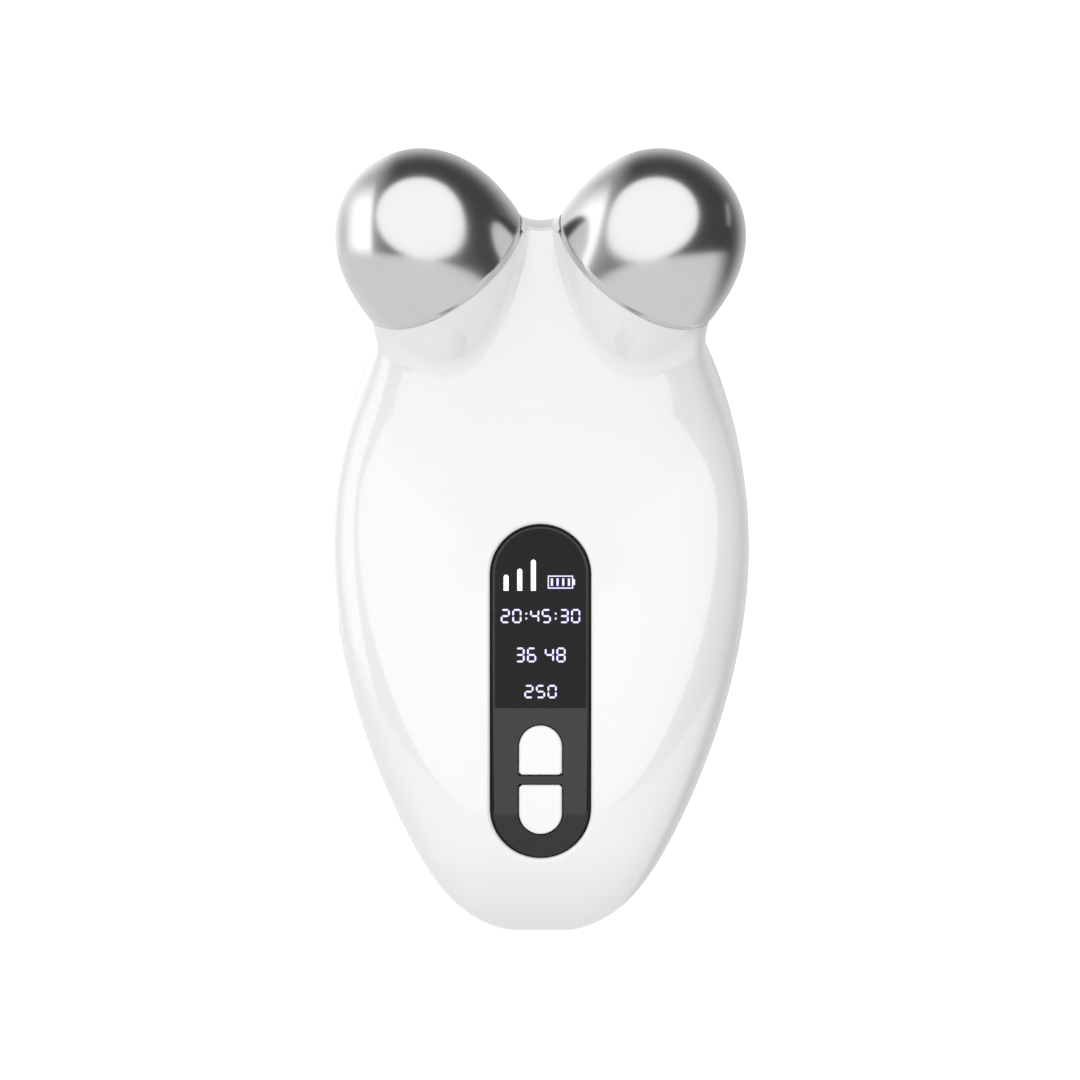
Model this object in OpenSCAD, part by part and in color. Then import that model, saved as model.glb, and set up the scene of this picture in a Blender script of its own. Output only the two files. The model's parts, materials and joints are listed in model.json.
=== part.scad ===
// Handheld facial toning device: two plated rollers on splayed axles in the head
// of a palm-sized two-shell housing, with a display panel and two push buttons.
//
// Frame: X across, Y along the housing towards the rollers, Z out of the display
// side. The origin is the centre of the flat on the back, under the widest section.

/* [Housing] */
// Width of the housing at its widest section
body_w = 57.6; // [54:0.2:60]
// Length from the widest section back to the tail tip
tail_len = 53.2; // [50:0.1:57]
// Depth from the parting line up to the front, at its highest
front_depth = 15.5; // [14.5:0.1:17]
// Depth from the parting line down to the flat on the back
back_depth = 16.5; // [15.5:0.1:18]
// Extra depth of the back curve that the flat takes off
flat_cut = 1.3; // [0.8:0.1:1.6]
// Wall of both housing shells
wall = 2; // [1.6:0.1:2.3]
// Gap of the seam between the two shells
seam = 0.16; // [0.1:0.02:0.3]
// Radius of the front curve along the housing
front_r = 115; // [105:1:140]
// Radius of the back curve along the housing
back_r = 220; // [180:5:280]

/* [Head] */
// Forward lean of the head
lean = 31.3; // [27:0.1:34]
// Radius of the bend between handle and head
bend_r = 34; // [32:0.5:38]
// Distance from the widest section to the start of the bend
bend_start = 5.5; // [4:0.1:8]
// Width of the housing where it meets the rollers
neck_w = 45; // [44:0.1:46.5]
// Length of the head past the bend, up to the bridge between the rollers
head_len = 25.1; // [24:0.1:26.5]
// Front depth of the head at the bend
head_front = 11.8; // [11.4:0.1:12.6]
// Back depth of the head at the bend
head_back = 14; // [13:0.1:14.5]
// Radius of the collar under each roller, at the roller's rim
collar_r = 12.1; // [11.6:0.1:12.2]

/* [Rollers] */
// Angle between each axle and the middle of the head
splay = 32.4; // [29:0.1:34]
// Distance from the middle to the centre of each roller's rim
rim_x = 13; // [12.9:0.1:14]
// Distance from the bend to the centre of each roller's rim
rim_up = 18; // [17.5:0.1:18.5]
// Largest radius of a roller
roller_r = 12.7; // [12.5:0.1:12.9]
// Radius of a roller at its rim
rim_r = 12.3; // [12:0.1:12.5]
// Height of a roller from rim to tip
roller_h = 18.2; // [18:0.1:20]
// Height of the widest ring of a roller above its rim
swell_h = 1.3; // [1.1:0.1:2]
// Wall of a roller shell
dome_wall = 1; // [0.8:0.1:1.3]
// Gap between a roller's rim and its collar
roller_gap = 0.4; // [0.3:0.05:0.6]
// Radius of the axle in its bushes
axle_r = 2.5; // [2.2:0.1:2.6]
// Running clearance of a bush on the axle
bush_play = 0.03; // [0.02:0.01:0.08]
// Wall of a bush
bush_wall = 0.97; // [0.8:0.01:1.2]
// Length of a bush in the core
bush_len = 5; // [4:0.1:5.5]

/* [Panel] */
// Width of the dark panel
panel_w = 13.7; // [13:0.1:15]
// Length of the dark panel
panel_len = 46; // [45:0.1:48]
// Distance from the widest section to the middle of the panel
panel_mid = 19.8; // [19:0.1:21]
// Thickness of the panel cover
cover_t = 1.2; // [0.9:0.1:1.4]
// Depth of the cover's face below the crest of the housing
cover_drop = 0.5; // [0.3:0.05:0.7]
// Thickness of the adhesive under the cover
tape_t = 0.2; // [0.1:0.05:0.3]
// Thickness of the ledge that the cover lies on
ledge_t = 1.4; // [1.2:0.1:1.6]
// Gap around the cover
cover_gap = 0.12; // [0.08:0.02:0.2]

/* [Buttons] */
// Width of a button
button_w = 5.9; // [5:0.1:6.4]
// Length of a button
button_len = 6.8; // [6.2:0.1:7]
// Space between the two buttons
button_space = 1.4; // [1.3:0.1:2]
// Distance from the widest section to the middle of the button pair
button_mid = 32; // [31:0.1:32.5]
// Height of a button above the cover
button_proud = 0.25; // [0.1:0.05:0.5]
// Gap around a button
button_gap = 0.15; // [0.1:0.01:0.25]
// Travel of a button
button_travel = 0.35; // [0.2:0.05:0.4]

/* [Electronics] */
// Thickness of the main board
board_t = 1.2; // [1:0.1:1.6]
// Width of the main board
board_w = 22; // [21:0.5:23]
// Height of the board's front face above the parting line
board_up = 5.5; // [5.2:0.1:5.8]
// Thickness of the battery cell
cell_t = 8; // [6:0.5:9]
// Width of the battery cell
cell_w = 22; // [18:0.5:23]
// Length of the battery cell
cell_len = 34; // [30:0.5:36]
// Width of the charging socket's shell
socket_w = 8.94; // [8.8:0.02:9.1]
// Height of the charging socket's shell
socket_h = 3.26; // [3.1:0.02:3.4]
// Length of the charging socket's shell
socket_len = 7.35; // [6.5:0.05:8]

/* [Hidden] */
$fn = 48;
LEFT = -1;
RIGHT = 1;
SIDES = [LEFT, RIGHT];
SIDE_NAMES = ["left", "right"];
ROLLER_PARTS = ["roller_shell", "roller_core", "inner_bush", "outer_bush", "axle", "axle_seal",
                "contact_washer", "retaining_clip", "axle_nut", "lead_terminal", "electrode_lead"];

FAR = 90;            // reach of cutting blocks past the housing
EPS = 0.01;          // overlap that joins two solids of one piece
ARC_FN = 720;        // sides of the long, flat curves along the front
SEATED = 0.02;       // gap left between two faces that are glued or pressed together

// ---- Housing form -------------------------------------------------------------
part_z = back_depth;                                   // height of the parting line
bend_len = bend_r * lean * PI / 180;                   // length of the bend along the spine
bend_end = bend_start + bend_len;                      // where the straight head starts
bend_y = bend_start + bend_r * sin(lean);
bend_z = part_z + bend_r * (1 - cos(lean));
head_end = bend_end + head_len;
front_crest = -13;                                     // where the front is highest
back_crest = 2;                                        // where the back is lowest
tail_round = 40;                                       // from the widest section to the tail's round end
tail_round_w = 18.15;                                  // half width there
tail_round_slope = 0.52;                               // slope of the outline there
tail_blunt = 7.7;                                      // bluntness of the very tip
tip_ease = 10.6;                                       // straightness of the outline into the round end
tail_ease = 8.6;                                       // straightness of the outline out of the round end
tail_run = 16.2;                                       // straightness beside the widest section
neck_run = 18;                                         // straightness of the shoulder outline
neck_blend = 4.5;                                      // roundness where shoulder meets neck
neck_at = 8;                                           // distance past the bend to the full neck
front_square = 4.5;                                    // squareness of the front section
back_square = 2.3;                                     // squareness of the back section
front_tail_cap = 13.3;                                 // length of the rounded tail, front side
back_tail_cap = 33.3;                                  // length of the rounded tail, back side
front_ease = 6;                                        // straightness of the front at both ends of the bend
head_fall = 0.374;                                     // how fast the front falls towards the end of the head
back_ease_in = 12;                                     // straightness of the back where the bend starts
back_ease_out = 5;                                     // straightness of the back where the bend ends
back_swell = 0.6;                                      // extra depth of the back before the bend ends
ring_points = 36;

function clamp0(v) = max(0, v);
function bez(p, t) =
    pow(1 - t, 3) * p[0] + 3 * pow(1 - t, 2) * t * p[1] + 3 * (1 - t) * t * t * p[2] + pow(t, 3) * p[3];

// Height of a curve of cubic arcs over a place along it, found by halving.
function curve_at(p, s, lo = 0, hi = 1, n = 18) =
    let (mid = (lo + hi) / 2)
    n == 0 ? bez(p, mid)[1]
           : bez(p, mid)[0] < s ? curve_at(p, s, mid, hi, n - 1) : curve_at(p, s, lo, mid, n - 1);

TIP_OUTLINE = [[-tail_len, 0], [-tail_len, tail_blunt],
               [-tail_round - tip_ease, tail_round_w - tip_ease * tail_round_slope],
               [-tail_round, tail_round_w]];
TAIL_OUTLINE = [[-tail_round, tail_round_w],
                [-tail_round + tail_ease, tail_round_w + tail_ease * tail_round_slope],
                [-tail_run, body_w / 2], [0, body_w / 2]];
NECK_OUTLINE = [[0, body_w / 2], [neck_run, body_w / 2],
                [bend_end + neck_at - neck_blend, neck_w / 2], [bend_end + neck_at, neck_w / 2]];

function half_w(s) =
    s < -tail_round ? curve_at(TIP_OUTLINE, s)
    : s < 0 ? curve_at(TAIL_OUTLINE, s)
    : s < bend_end + neck_at ? curve_at(NECK_OUTLINE, s) : neck_w / 2;

// Rounding that brings a depth to nothing at the end of the housing.
function cap(t, p, q) = t <= 0 ? 1 : pow(clamp0(1 - pow(t, p)), q);

function front_arc(s) = front_depth - front_r + sqrt(front_r * front_r - pow(s - front_crest, 2));
front_slope = -(bend_start - front_crest) / front_r;
// Within the bend a height changes over a shorter run than along the spine.
function in_bend(slope, height) = slope * (1 - height / bend_r);
FRONT_NECK = [[bend_start, front_arc(bend_start)],
              [bend_start + front_ease,
               front_arc(bend_start) + front_ease * in_bend(front_slope, front_arc(bend_start))],
              [bend_end - front_ease, head_front + front_ease * in_bend(head_fall, head_front)],
              [bend_end, head_front]];
function front_at(s) =
    s < bend_start ? front_arc(s) * cap((front_tail_cap - tail_len - s) / front_tail_cap, 2.5, 0.5)
    : s < bend_end ? curve_at(FRONT_NECK, s)
    : (head_front - head_fall * (s - bend_end)) * cap((s - bend_end) / head_len, 6, 0.5);

function back_arc(s) = back_depth + flat_cut - back_r + sqrt(back_r * back_r - pow(s - back_crest, 2));
BACK_NECK = [[bend_start, back_arc(bend_start)], [bend_start + back_ease_in, back_arc(bend_start)],
             [bend_end - back_ease_out, head_back + back_swell], [bend_end, head_back]];
function back_at(s) =
    s < bend_start ? back_arc(s) * cap((back_tail_cap - tail_len - s) / back_tail_cap, 2.4, 0.5)
    : s < bend_end ? curve_at(BACK_NECK, s)
    : head_back * cap((s - bend_end) / head_len, 2.2, 0.5);

// Spine of the housing: its place and its lean at a distance along it.
function spine_lean(s) = lean * min(1, clamp0(s - bend_start) / bend_len);
function spine(s, off = 0) =
    let (a = spine_lean(s), straight = clamp0(s - bend_end))
    [s < bend_start ? s : bend_start + (bend_r - off) * sin(a) + straight * cos(lean),
     s < bend_start ? part_z + off : part_z + bend_r - (bend_r - off) * cos(a) + straight * sin(lean)];

// One closed ring of the housing, drawn in from the outside by inset.
function power(v, n) = sign(v) * pow(abs(v), 2 / n);
function ring(s, inset) =
    [for (i = [0:ring_points - 1])
        let (t = 360 * i / ring_points,
             up = sin(t) >= 0,
             n = up ? front_square : back_square,
             depth = max(0.3, (up ? front_at(s) : back_at(s)) - inset),
             p = spine(s, depth * power(sin(t), n)))
        [max(0.3, half_w(s) - inset) * power(cos(t), n), p[0], p[1]]];

// Places of the rings: close together at both ends, even between.
function ring_places(from, to) =
    let (a = from + front_tail_cap, b = to - 9)
    concat([for (i = [1:7]) a - (a - from) * cos(90 * i / 8 - 2)],
           [for (i = [0:13]) a + (b - a) * i / 13],
           [for (i = [1:5]) b + (to - b) * sin(90 * i / 5.4)]);

module loft(inset, from, to) {
    places = ring_places(from, to);
    rings = [for (s = places) each ring(s, inset)];
    count = len(places);
    last = count * ring_points;
    ends = [[0, spine(from)[0], spine(from)[1]],
            [0, spine(places[count - 1])[0], spine(places[count - 1])[1]]];
    sides = [for (k = [0:count - 2], i = [0:ring_points - 1])
        let (a = k * ring_points + i, b = k * ring_points + (i + 1) % ring_points)
        each [[a, b, a + ring_points], [b, b + ring_points, a + ring_points]]];
    caps = [for (i = [0:ring_points - 1])
        let (j = (i + 1) % ring_points, k = (count - 1) * ring_points)
        each [[last, j, i], [last + 1, k + i, k + j]]];
    polyhedron(concat(rings, ends), concat(sides, caps), convexity = 6);
}

// ---- Frames -------------------------------------------------------------------
module in_head()
    translate([0, bend_y, bend_z]) rotate([lean, 0, 0]) children();

// Along one axle: the origin is the centre of the rim and +Z points out to the tip.
module in_roller(side)
    in_head() translate([side * rim_x, rim_up, 0])
        rotate([0, 0, -side * splay]) rotate([-90, 0, 0]) children();

// Place in the housing's frame of a point given in a roller's frame.
function roller_point(side, p) =
    let (a = side * splay,
         x = p[0] * cos(a) + p[2] * sin(a),
         y = p[2] * cos(a) - p[0] * sin(a) + rim_up)
    [x + side * rim_x, bend_y + y * cos(lean) + p[1] * sin(lean), bend_z + y * sin(lean) - p[1] * cos(lean)];

// Everything on one side of the parting line, which follows the spine.
module parting_block(front) {
    off = (front ? 1 : -1) * seam / 2;
    run = [for (s = [bend_start, bend_start + bend_len / 5, bend_start + bend_len * 2 / 5,
                     bend_start + bend_len * 3 / 5, bend_start + bend_len * 4 / 5, bend_end,
                     bend_end + FAR]) spine(s, off)];
    edge = front ? FAR + part_z : -FAR;
    translate([-FAR / 2, 0, 0]) rotate([90, 0, 90]) linear_extrude(FAR)
        polygon(concat([[-FAR, part_z + off]], run,
                       [[bend_y + FAR, edge], [-FAR, edge]]));
}

module form(inset, from, to, collar, collar_top) {
    difference() {
        loft(inset, from, to);
        for (side = SIDES) in_roller(side)
            translate([-FAR / 2, -FAR / 2, collar_top]) cube(FAR);
    }
    for (side = SIDES) in_roller(side) collar_cone(side, collar, collar_top);
}

// A collar: round at the rim, narrower further back, and set back more squarely than the axle.
module collar_cone(side, r, top) {
    n = 72;
    rings = [for (z = [-collar_deep, top], i = [0:n - 1])
        let (back = -roller_gap - z, q = r - collar_taper * back, shift = side * collar_skew * back)
        [q * cos(360 * i / n) + shift, q * sin(360 * i / n), z]];
    polyhedron(rings, concat([[for (i = [0:n - 1]) i]], [[for (i = [0:n - 1]) 2 * n - 1 - i]],
                             [for (i = [0:n - 1]) let (j = (i + 1) % n) each [[i, i + n, j], [j, i + n, j + n]]]),
               convexity = 2);
}

collar_deep = 16;      // how far each collar runs back into the head
collar_taper = 0.35;   // loss of a collar's radius over its length
collar_skew = 0.45;    // how far a collar moves outwards over its length
cavity_stop = 4.2;     // distance from the head's end to the end of the cavity

module outer_form() form(0, -tail_len, head_end, collar_r, -roller_gap);
module inner_form() form(wall, -tail_len + wall, head_end - cavity_stop, collar_r - wall, -roller_gap - wall);

// ---- Panel places -------------------------------------------------------------
cover_r = front_r - cover_drop;                 // radius of the cover's face, concentric with the front
arc_z = part_z + front_depth - front_r;         // height of the centre of those curves
cover_under = cover_r - cover_t;
ledge_top = cover_under - tape_t;
ledge_under = ledge_top - ledge_t;
ledge_rim = 1.3;                                // reach of the ledge past the cover
function arc_height(r, y) = arc_z + sqrt(r * r - pow(y - front_crest, 2));

window_w = 11.4;                                // opening over the display
window_below = 2.5;                             // reach of that opening below the panel's middle
window_in_round = 2.2;                          // reach of that opening into the panel's round end
window_lo = -panel_mid - window_below;
window_hi = -panel_mid + (panel_len - panel_w) / 2 + window_in_round;
button_pitch = button_len + button_space;
upper_y = -button_mid + button_pitch / 2;
lower_y = -button_mid - button_pitch / 2;

module stadium(w, l) {
    for (end = [-1, 1]) translate([0, end * (l - w) / 2]) circle(d = w);
    square([w, l - w], center = true);
}

// Space between two cylinders about the centre of the front curve.
module arc_layer(r_in, r_out)
    translate([0, front_crest, arc_z]) rotate([0, 90, 0])
        difference() {
            cylinder(r = r_out, h = FAR, center = true, $fn = ARC_FN);
            cylinder(r = r_in, h = FAR + 2, center = true, $fn = ARC_FN);
        }

module panel_outline(grow)
    translate([0, -panel_mid]) stadium(panel_w + 2 * grow, panel_len + 2 * grow);

// A button seen from the front: round at one end and straight at the other.
module button_outline(y, end, grow) {
    w = button_w + 2 * grow;
    l = button_len + 2 * grow;
    translate([0, y]) rotate(end > 0 ? 0 : 180) {
        translate([0, l / 2 - w / 2]) circle(d = w);
        translate([-w / 2, -l / 2]) square([w, l - w / 2]);
    }
}

module button_outlines(grow) {
    button_outline(upper_y, 1, grow);
    button_outline(lower_y, -1, grow);
}

module window_outline(grow)
    translate([-window_w / 2 - grow, window_lo - grow])
        square([window_w + 2 * grow, window_hi - window_lo + 2 * grow]);

// ---- Fastener places ------------------------------------------------------------
screw_r = 1;                   // thread radius of every housing and board screw
small_head_r = 1.8;            // head of the screws in the board and the yoke
small_head_t = 1;
housing_thread = 5.5;          // length of thread in a post
board_thread = 3;
yoke_thread = 2.8;
thread_room = 0.6;             // depth of a thread hole past the end of its screw
boss_r = 3.1;
housing_screw_at = [[-17, -22], [17, -22], [-19.5, 4], [19.5, 4]];
housing_head_r = 1.9;
housing_head_t = 1.4;
seat_down = 5.5;               // depth of the screw seat below the parting line
plug_r = 2.3;
plug_t = 1.4;
board_screw_at = [[-8.6, -39], [8.6, -39], [-8.6, 5.4], [8.6, 5.4]];
board_z = part_z + board_up;   // front face of the board
yoke_t = 3;
yoke_screw_at = [0, 14.6];     // middle screw, in the head
ear_out = 8.8;                 // lateral distance of an ear screw from its axle
ear_back = 8;                  // distance of an ear screw behind the rim
yoke_boss_r = 2.6;

module at_ear(side)
    in_roller(side) translate([side * ear_out, 0, -ear_back]) rotate([90, 0, 0]) children();

module at_yoke_screws() {
    in_head() translate([yoke_screw_at[0], yoke_screw_at[1], 0]) children();
    for (side = SIDES) at_ear(side) children();
}

// ---- Front shell ----------------------------------------------------------------
module front_inside() {
    // Ledge under the panel cover
    intersection() {
        linear_extrude(FAR) panel_outline(cover_gap + ledge_rim);
        arc_layer(ledge_under, front_r + 5);
    }
    // Posts for the housing screws and for the board
    for (p = housing_screw_at) translate([p[0], p[1], part_z]) cylinder(r = boss_r, h = front_depth);
    for (p = board_screw_at) translate([p[0], p[1], board_z]) cylinder(r = boss_r, h = front_depth);
    at_yoke_screws() translate([0, 0, yoke_t / 2]) cylinder(r = yoke_boss_r, h = head_front);
    socket_block();
}

module front_shell() color("white") difference() {
    intersection() {
        difference() {
            outer_form();
            difference() {
                inner_form();
                front_inside();
            }
        }
        parting_block(true);
    }
    // Pocket for the cover, with the openings through its ledge
    difference() {
        linear_extrude(FAR) panel_outline(cover_gap);
        translate([0, front_crest, arc_z]) rotate([0, 90, 0])
            cylinder(r = ledge_top, h = FAR, center = true, $fn = ARC_FN);
    }
    linear_extrude(FAR) window_outline(0);
    linear_extrude(FAR) button_outlines(button_gap);
    // Thread holes
    for (p = housing_screw_at) translate([p[0], p[1], part_z - 1])
        cylinder(r = screw_r, h = 1 + housing_thread + thread_room);
    for (p = board_screw_at) translate([p[0], p[1], board_z - 1])
        cylinder(r = screw_r, h = 1 + board_thread + thread_room);
    at_yoke_screws() translate([0, 0, yoke_t / 2 - 1])
        cylinder(r = screw_r, h = 1 + yoke_thread + thread_room);
    socket_way();
    collar_bores();
}

collar_bore_r = 4;
module collar_bores()
    for (side = SIDES) in_roller(side) translate([0, 0, -FAR / 8]) cylinder(r = collar_bore_r, h = FAR / 4);

// ---- Rear shell -----------------------------------------------------------------
cell_y = -8;                       // middle of the battery cell
cell_z = 4.8;                      // underside of the cell
cell_pad_t = 0.6;
cell_pad_len = 4;
cell_pad_inset = 1;                // distance of the pads and ribs inside the cell's sides
rib_t = 1.2;
rib_pitch = 11;
cradle_ribs = [for (i = [-1:1]) cell_y + i * rib_pitch];
fence_t = 1.2;
fence_gap = 0.3;
fence_len = 28;
socket_z = part_z;                 // middle height of the charging socket
socket_mouth = -tail_len + 2.6;    // where the socket's shell starts
charge_board_t = 1;
charge_board_w = 15;
charge_board_len = 13;
charge_board_top = socket_z - socket_h / 2;
charge_board_from = socket_mouth + 2.2;
socket_wall = 1.6;                 // wall of the block that holds the socket
socket_fit = 0.1;                  // gap around the socket's shell
plug_room = 0.35;                  // extra size of the opening for the plug
charge_screw_x = 5.6;
charge_screw_y = charge_board_from + charge_board_len - 2.2;
charge_screw_r = 0.8;
charge_head_r = 1.5;
charge_head_t = 0.8;
charge_thread = 3;
charge_post_r = 1.9;

module socket_outline(grow) stadium(socket_h + 2 * grow, socket_w + 2 * grow);

// A solid along Y with the section of the charging socket.
module socket_prism(from, to, grow)
    translate([0, from, socket_z]) rotate([-90, 90, 0]) linear_extrude(to - from) socket_outline(grow);

module socket_block()
    socket_prism(-tail_len, socket_mouth + 1.6, socket_wall);

module socket_way() {
    socket_prism(-tail_len - 1, socket_mouth, plug_room);
    socket_prism(socket_mouth - EPS, socket_mouth + socket_len + 1, socket_fit);
}

module rear_inside() {
    for (p = housing_screw_at) translate([p[0], p[1], 0]) cylinder(r = boss_r, h = part_z);
    for (y = cradle_ribs) translate([-cell_w / 2 + cell_pad_inset, y - rib_t / 2, 0])
        cube([cell_w - 2 * cell_pad_inset, rib_t, cell_z - cell_pad_t]);
    for (side = SIDES)
        translate([side * (cell_w / 2 + fence_gap + fence_t / 2) - fence_t / 2, cell_y - fence_len / 2, 0])
            cube([fence_t, fence_len, cell_z + cell_t / 2]);
    socket_block();
    // Posts for the charging board
    for (side = SIDES) translate([side * charge_screw_x, charge_screw_y, 0])
        cylinder(r = charge_post_r, h = charge_board_top - charge_board_t);
}

module rear_shell() color("white") difference() {
    intersection() {
        difference() {
            outer_form();
            difference() {
                inner_form();
                rear_inside();
            }
        }
        parting_block(false);
    }
    translate([0, 0, -FAR]) linear_extrude(FAR) square(3 * FAR, center = true);
    // Screw recesses from the back
    for (p = housing_screw_at) translate([p[0], p[1], 0]) {
        translate([0, 0, -1]) cylinder(r = plug_r, h = part_z - seat_down + 1);
        cylinder(r = screw_r, h = part_z + 1);
    }
    for (side = SIDES)
        translate([side * charge_screw_x, charge_screw_y,
                   charge_board_top - charge_board_t - charge_thread - thread_room])
            cylinder(r = charge_screw_r, h = charge_thread + charge_board_t + thread_room);
    socket_way();
    collar_bores();
}

// ---- Fasteners --------------------------------------------------------------------
// A screw standing on its point: origin under the head, shank along +Z, head along -Z.
module screw(r, length, head_r, head_t) {
    cylinder(r = r, h = length);
    difference() {
        translate([0, 0, -head_t]) cylinder(r = head_r, h = head_t);
        for (a = [0, 90]) rotate([0, 0, a]) translate([-head_r * 0.6, -head_r * 0.14, -head_t - EPS])
            cube([head_r * 1.2, head_r * 0.28, head_t * 0.55]);
    }
}

module housing_screws() color("silver") for (p = housing_screw_at)
    translate([p[0], p[1], part_z - seat_down])
        screw(screw_r, seat_down + housing_thread, housing_head_r, housing_head_t);

// Height of the housing's back over a place on it.
function back_height(x, y) =
    part_z - back_at(y) * pow(clamp0(1 - pow(abs(x) / half_w(y), back_square)), 1 / back_square);

module screw_plugs() color("gainsboro") for (p = housing_screw_at) {
    mouth = back_height(abs(p[0]) + plug_r, p[1]) + 0.3;
    translate([p[0], p[1], mouth]) cylinder(r = plug_r - SEATED, h = plug_t);
}

module board_screws() color("silver") for (p = board_screw_at)
    translate([p[0], p[1], board_z - board_t])
        screw(screw_r, board_t + board_thread, small_head_r, small_head_t);

module yoke_screws() color("silver") at_yoke_screws()
    translate([0, 0, -yoke_t / 2]) screw(screw_r, yoke_t + yoke_thread, small_head_r, small_head_t);

module charge_board_screws() color("silver") for (side = SIDES)
    translate([side * charge_screw_x, charge_screw_y, charge_board_top])
        rotate([180, 0, 0])
            screw(charge_screw_r, charge_board_t + charge_thread, charge_head_r, charge_head_t);

// ---- Panel --------------------------------------------------------------------------
module panel_cover() color("black") difference() {
    intersection() {
        linear_extrude(FAR) panel_outline(0);
        arc_layer(cover_under, cover_r);
    }
    linear_extrude(FAR) button_outlines(button_gap);
}

module cover_tape() color("dimgray") difference() {
    intersection() {
        linear_extrude(FAR) panel_outline(-0.3);
        arc_layer(ledge_top + SEATED, cover_under - SEATED);
    }
    linear_extrude(FAR) window_outline(0.15);
    linear_extrude(FAR) button_outlines(0.5);
}

display_gap = 0.3;
display_w = window_w - 2 * display_gap;
display_lo = window_lo + display_gap;
display_hi = window_hi - display_gap - 0.2;
display_t = 1.3;
display_top = min(arc_height(cover_under, display_lo), arc_height(cover_under, display_hi)) - 0.1;
display_under = display_top - display_t;

module display_panel() color("#101014")
    translate([-display_w / 2, display_lo, display_under])
        cube([display_w, display_hi - display_lo, display_t]);

holder_wall = 1.2;
module display_holder() color("#2b2b2e") difference() {
    translate([-display_w / 2, display_lo, board_z])
        cube([display_w, display_hi - display_lo, display_under - board_z]);
    translate([-display_w / 2 + holder_wall, display_lo + holder_wall, board_z - 1])
        cube([display_w - 2 * holder_wall, display_hi - display_lo - 2 * holder_wall, 20]);
}

flex_w = 6;
flex_t = 0.15;
flex_bend = 0.8;
flex_z = board_z + 1;              // height of the flex where it enters its connector
flex_conn_y = display_hi + 2.4;
flex_conn_side = 0.8;              // wall of the connector beside the flex
flex_conn_len = 2;
flex_conn_t = 1.9;
flex_top = display_top - 0.3;      // where the flex leaves the display's edge

// The bend of the flex, between its upright run and its level run.
function flex_turn(r, from, to) = [for (i = [0:8])
    let (a = from + (to - from) * i / 8)
    [display_hi + flex_bend + flex_t + r * cos(a), flex_z + flex_bend + flex_t + r * sin(a)]];

module display_flex() color("#b5651d") translate([-flex_w / 2, 0, 0]) rotate([90, 0, 90])
    linear_extrude(flex_w) polygon(concat(
        [[display_hi, flex_top]], flex_turn(flex_bend + flex_t, 180, 270),
        [[flex_conn_y, flex_z], [flex_conn_y, flex_z + flex_t]], flex_turn(flex_bend, 270, 180),
        [[display_hi + flex_t, flex_top]]));

module flex_connector() color("ivory")
    translate([-flex_w / 2 - flex_conn_side, flex_conn_y, board_z])
        cube([flex_w + 2 * flex_conn_side, flex_conn_len, flex_conn_t]);

// ---- Buttons ------------------------------------------------------------------------
flange = 0.5;                      // how far a button's flange runs past its outline
flange_t = 0.8;
flange_gap = 0.1;                  // gap between a flange and the ledge above it
switch_w = 6;
switch_t = 1.7;
plunger_r = 0.95;
plunger_in = 0.8;                  // length of the plunger inside its switch

function flange_top(y) = min(arc_height(ledge_under, y - button_len / 2 - flange),
                             arc_height(ledge_under, y + button_len / 2 + flange)) - flange_gap;

module button(y, end) color("white") {
    // Cap, whose face follows the cover
    intersection() {
        translate([0, 0, flange_top(y) - EPS]) linear_extrude(FAR) button_outline(y, end, 0);
        translate([0, front_crest, arc_z]) rotate([0, 90, 0])
            cylinder(r = cover_r + button_proud, h = FAR, center = true, $fn = ARC_FN);
    }
    translate([0, 0, flange_top(y) - flange_t]) linear_extrude(flange_t) button_outline(y, end, flange);
    // Stem and plunger
    translate([0, y, board_z + switch_t + 0.45])
        cylinder(r = 1.5, h = flange_top(y) - flange_t - board_z - switch_t - 0.45 + EPS);
    translate([0, y, board_z + switch_t - plunger_in]) cylinder(r = plunger_r, h = plunger_in + 0.5);
}
module upper_button() button(upper_y, 1);
module lower_button() button(lower_y, -1);

module switch(y) color("dimgray") difference() {
    translate([-switch_w / 2, y - switch_w / 2, board_z]) cube([switch_w, switch_w, switch_t]);
    translate([0, y, board_z + switch_t - plunger_in - button_travel - 0.1])
        cylinder(r = plunger_r + 0.1, h = 3);
}
module upper_switch() switch(upper_y);
module lower_switch() switch(lower_y);

// ---- Main board and what it carries ---------------------------------------------------
board_lo = -43;
board_hi = 9;
module main_board() color("#1d6b3a") difference() {
    translate([0, 0, board_z - board_t]) linear_extrude(board_t) {
        translate([-board_w / 2, board_lo + 4]) square([board_w, board_hi - board_lo - 4]);
        translate([-board_w / 2 + 4, board_lo]) square([board_w - 8, 5]);
        for (side = SIDES) translate([side * (board_w / 2 - 4), board_lo + 4]) circle(r = 4);
    }
    for (p = board_screw_at) translate([p[0], p[1], board_z - board_t - 1])
        cylinder(r = screw_r, h = board_t + 2);
}

board_back = board_z - board_t;
module on_back(x, y, w, l, t) translate([x - w / 2, y - l / 2, board_back - t]) cube([w, l, t]);

chip_at = [-4, -12];
chip_w = 7;
chip_t = 1.1;
module microcontroller() color("#222222") on_back(chip_at[0], chip_at[1], chip_w, chip_w, chip_t);

transformer_at = [4.5, -24];
transformer_w = 9;
transformer_len = 8;
transformer_t = 4.4;
winding_r = 3.2;
winding_t = 0.5;                   // height of the winding above the transformer's block
module boost_transformer() color("goldenrod") {
    on_back(transformer_at[0], transformer_at[1], transformer_w, transformer_len, transformer_t);
    translate([transformer_at[0], transformer_at[1], board_back - transformer_t - winding_t])
        cylinder(r = winding_r, h = winding_t + EPS);
}

can_at = [-5.5, -28];              // middle one of the capacitors
can_pitch = 5;
can_r = 1.8;
can_t = 3.6;
module capacitors() color("slategray") for (i = [-1:1])
    translate([can_at[0], can_at[1] + i * can_pitch, board_back - can_t]) cylinder(r = can_r, h = can_t);

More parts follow.
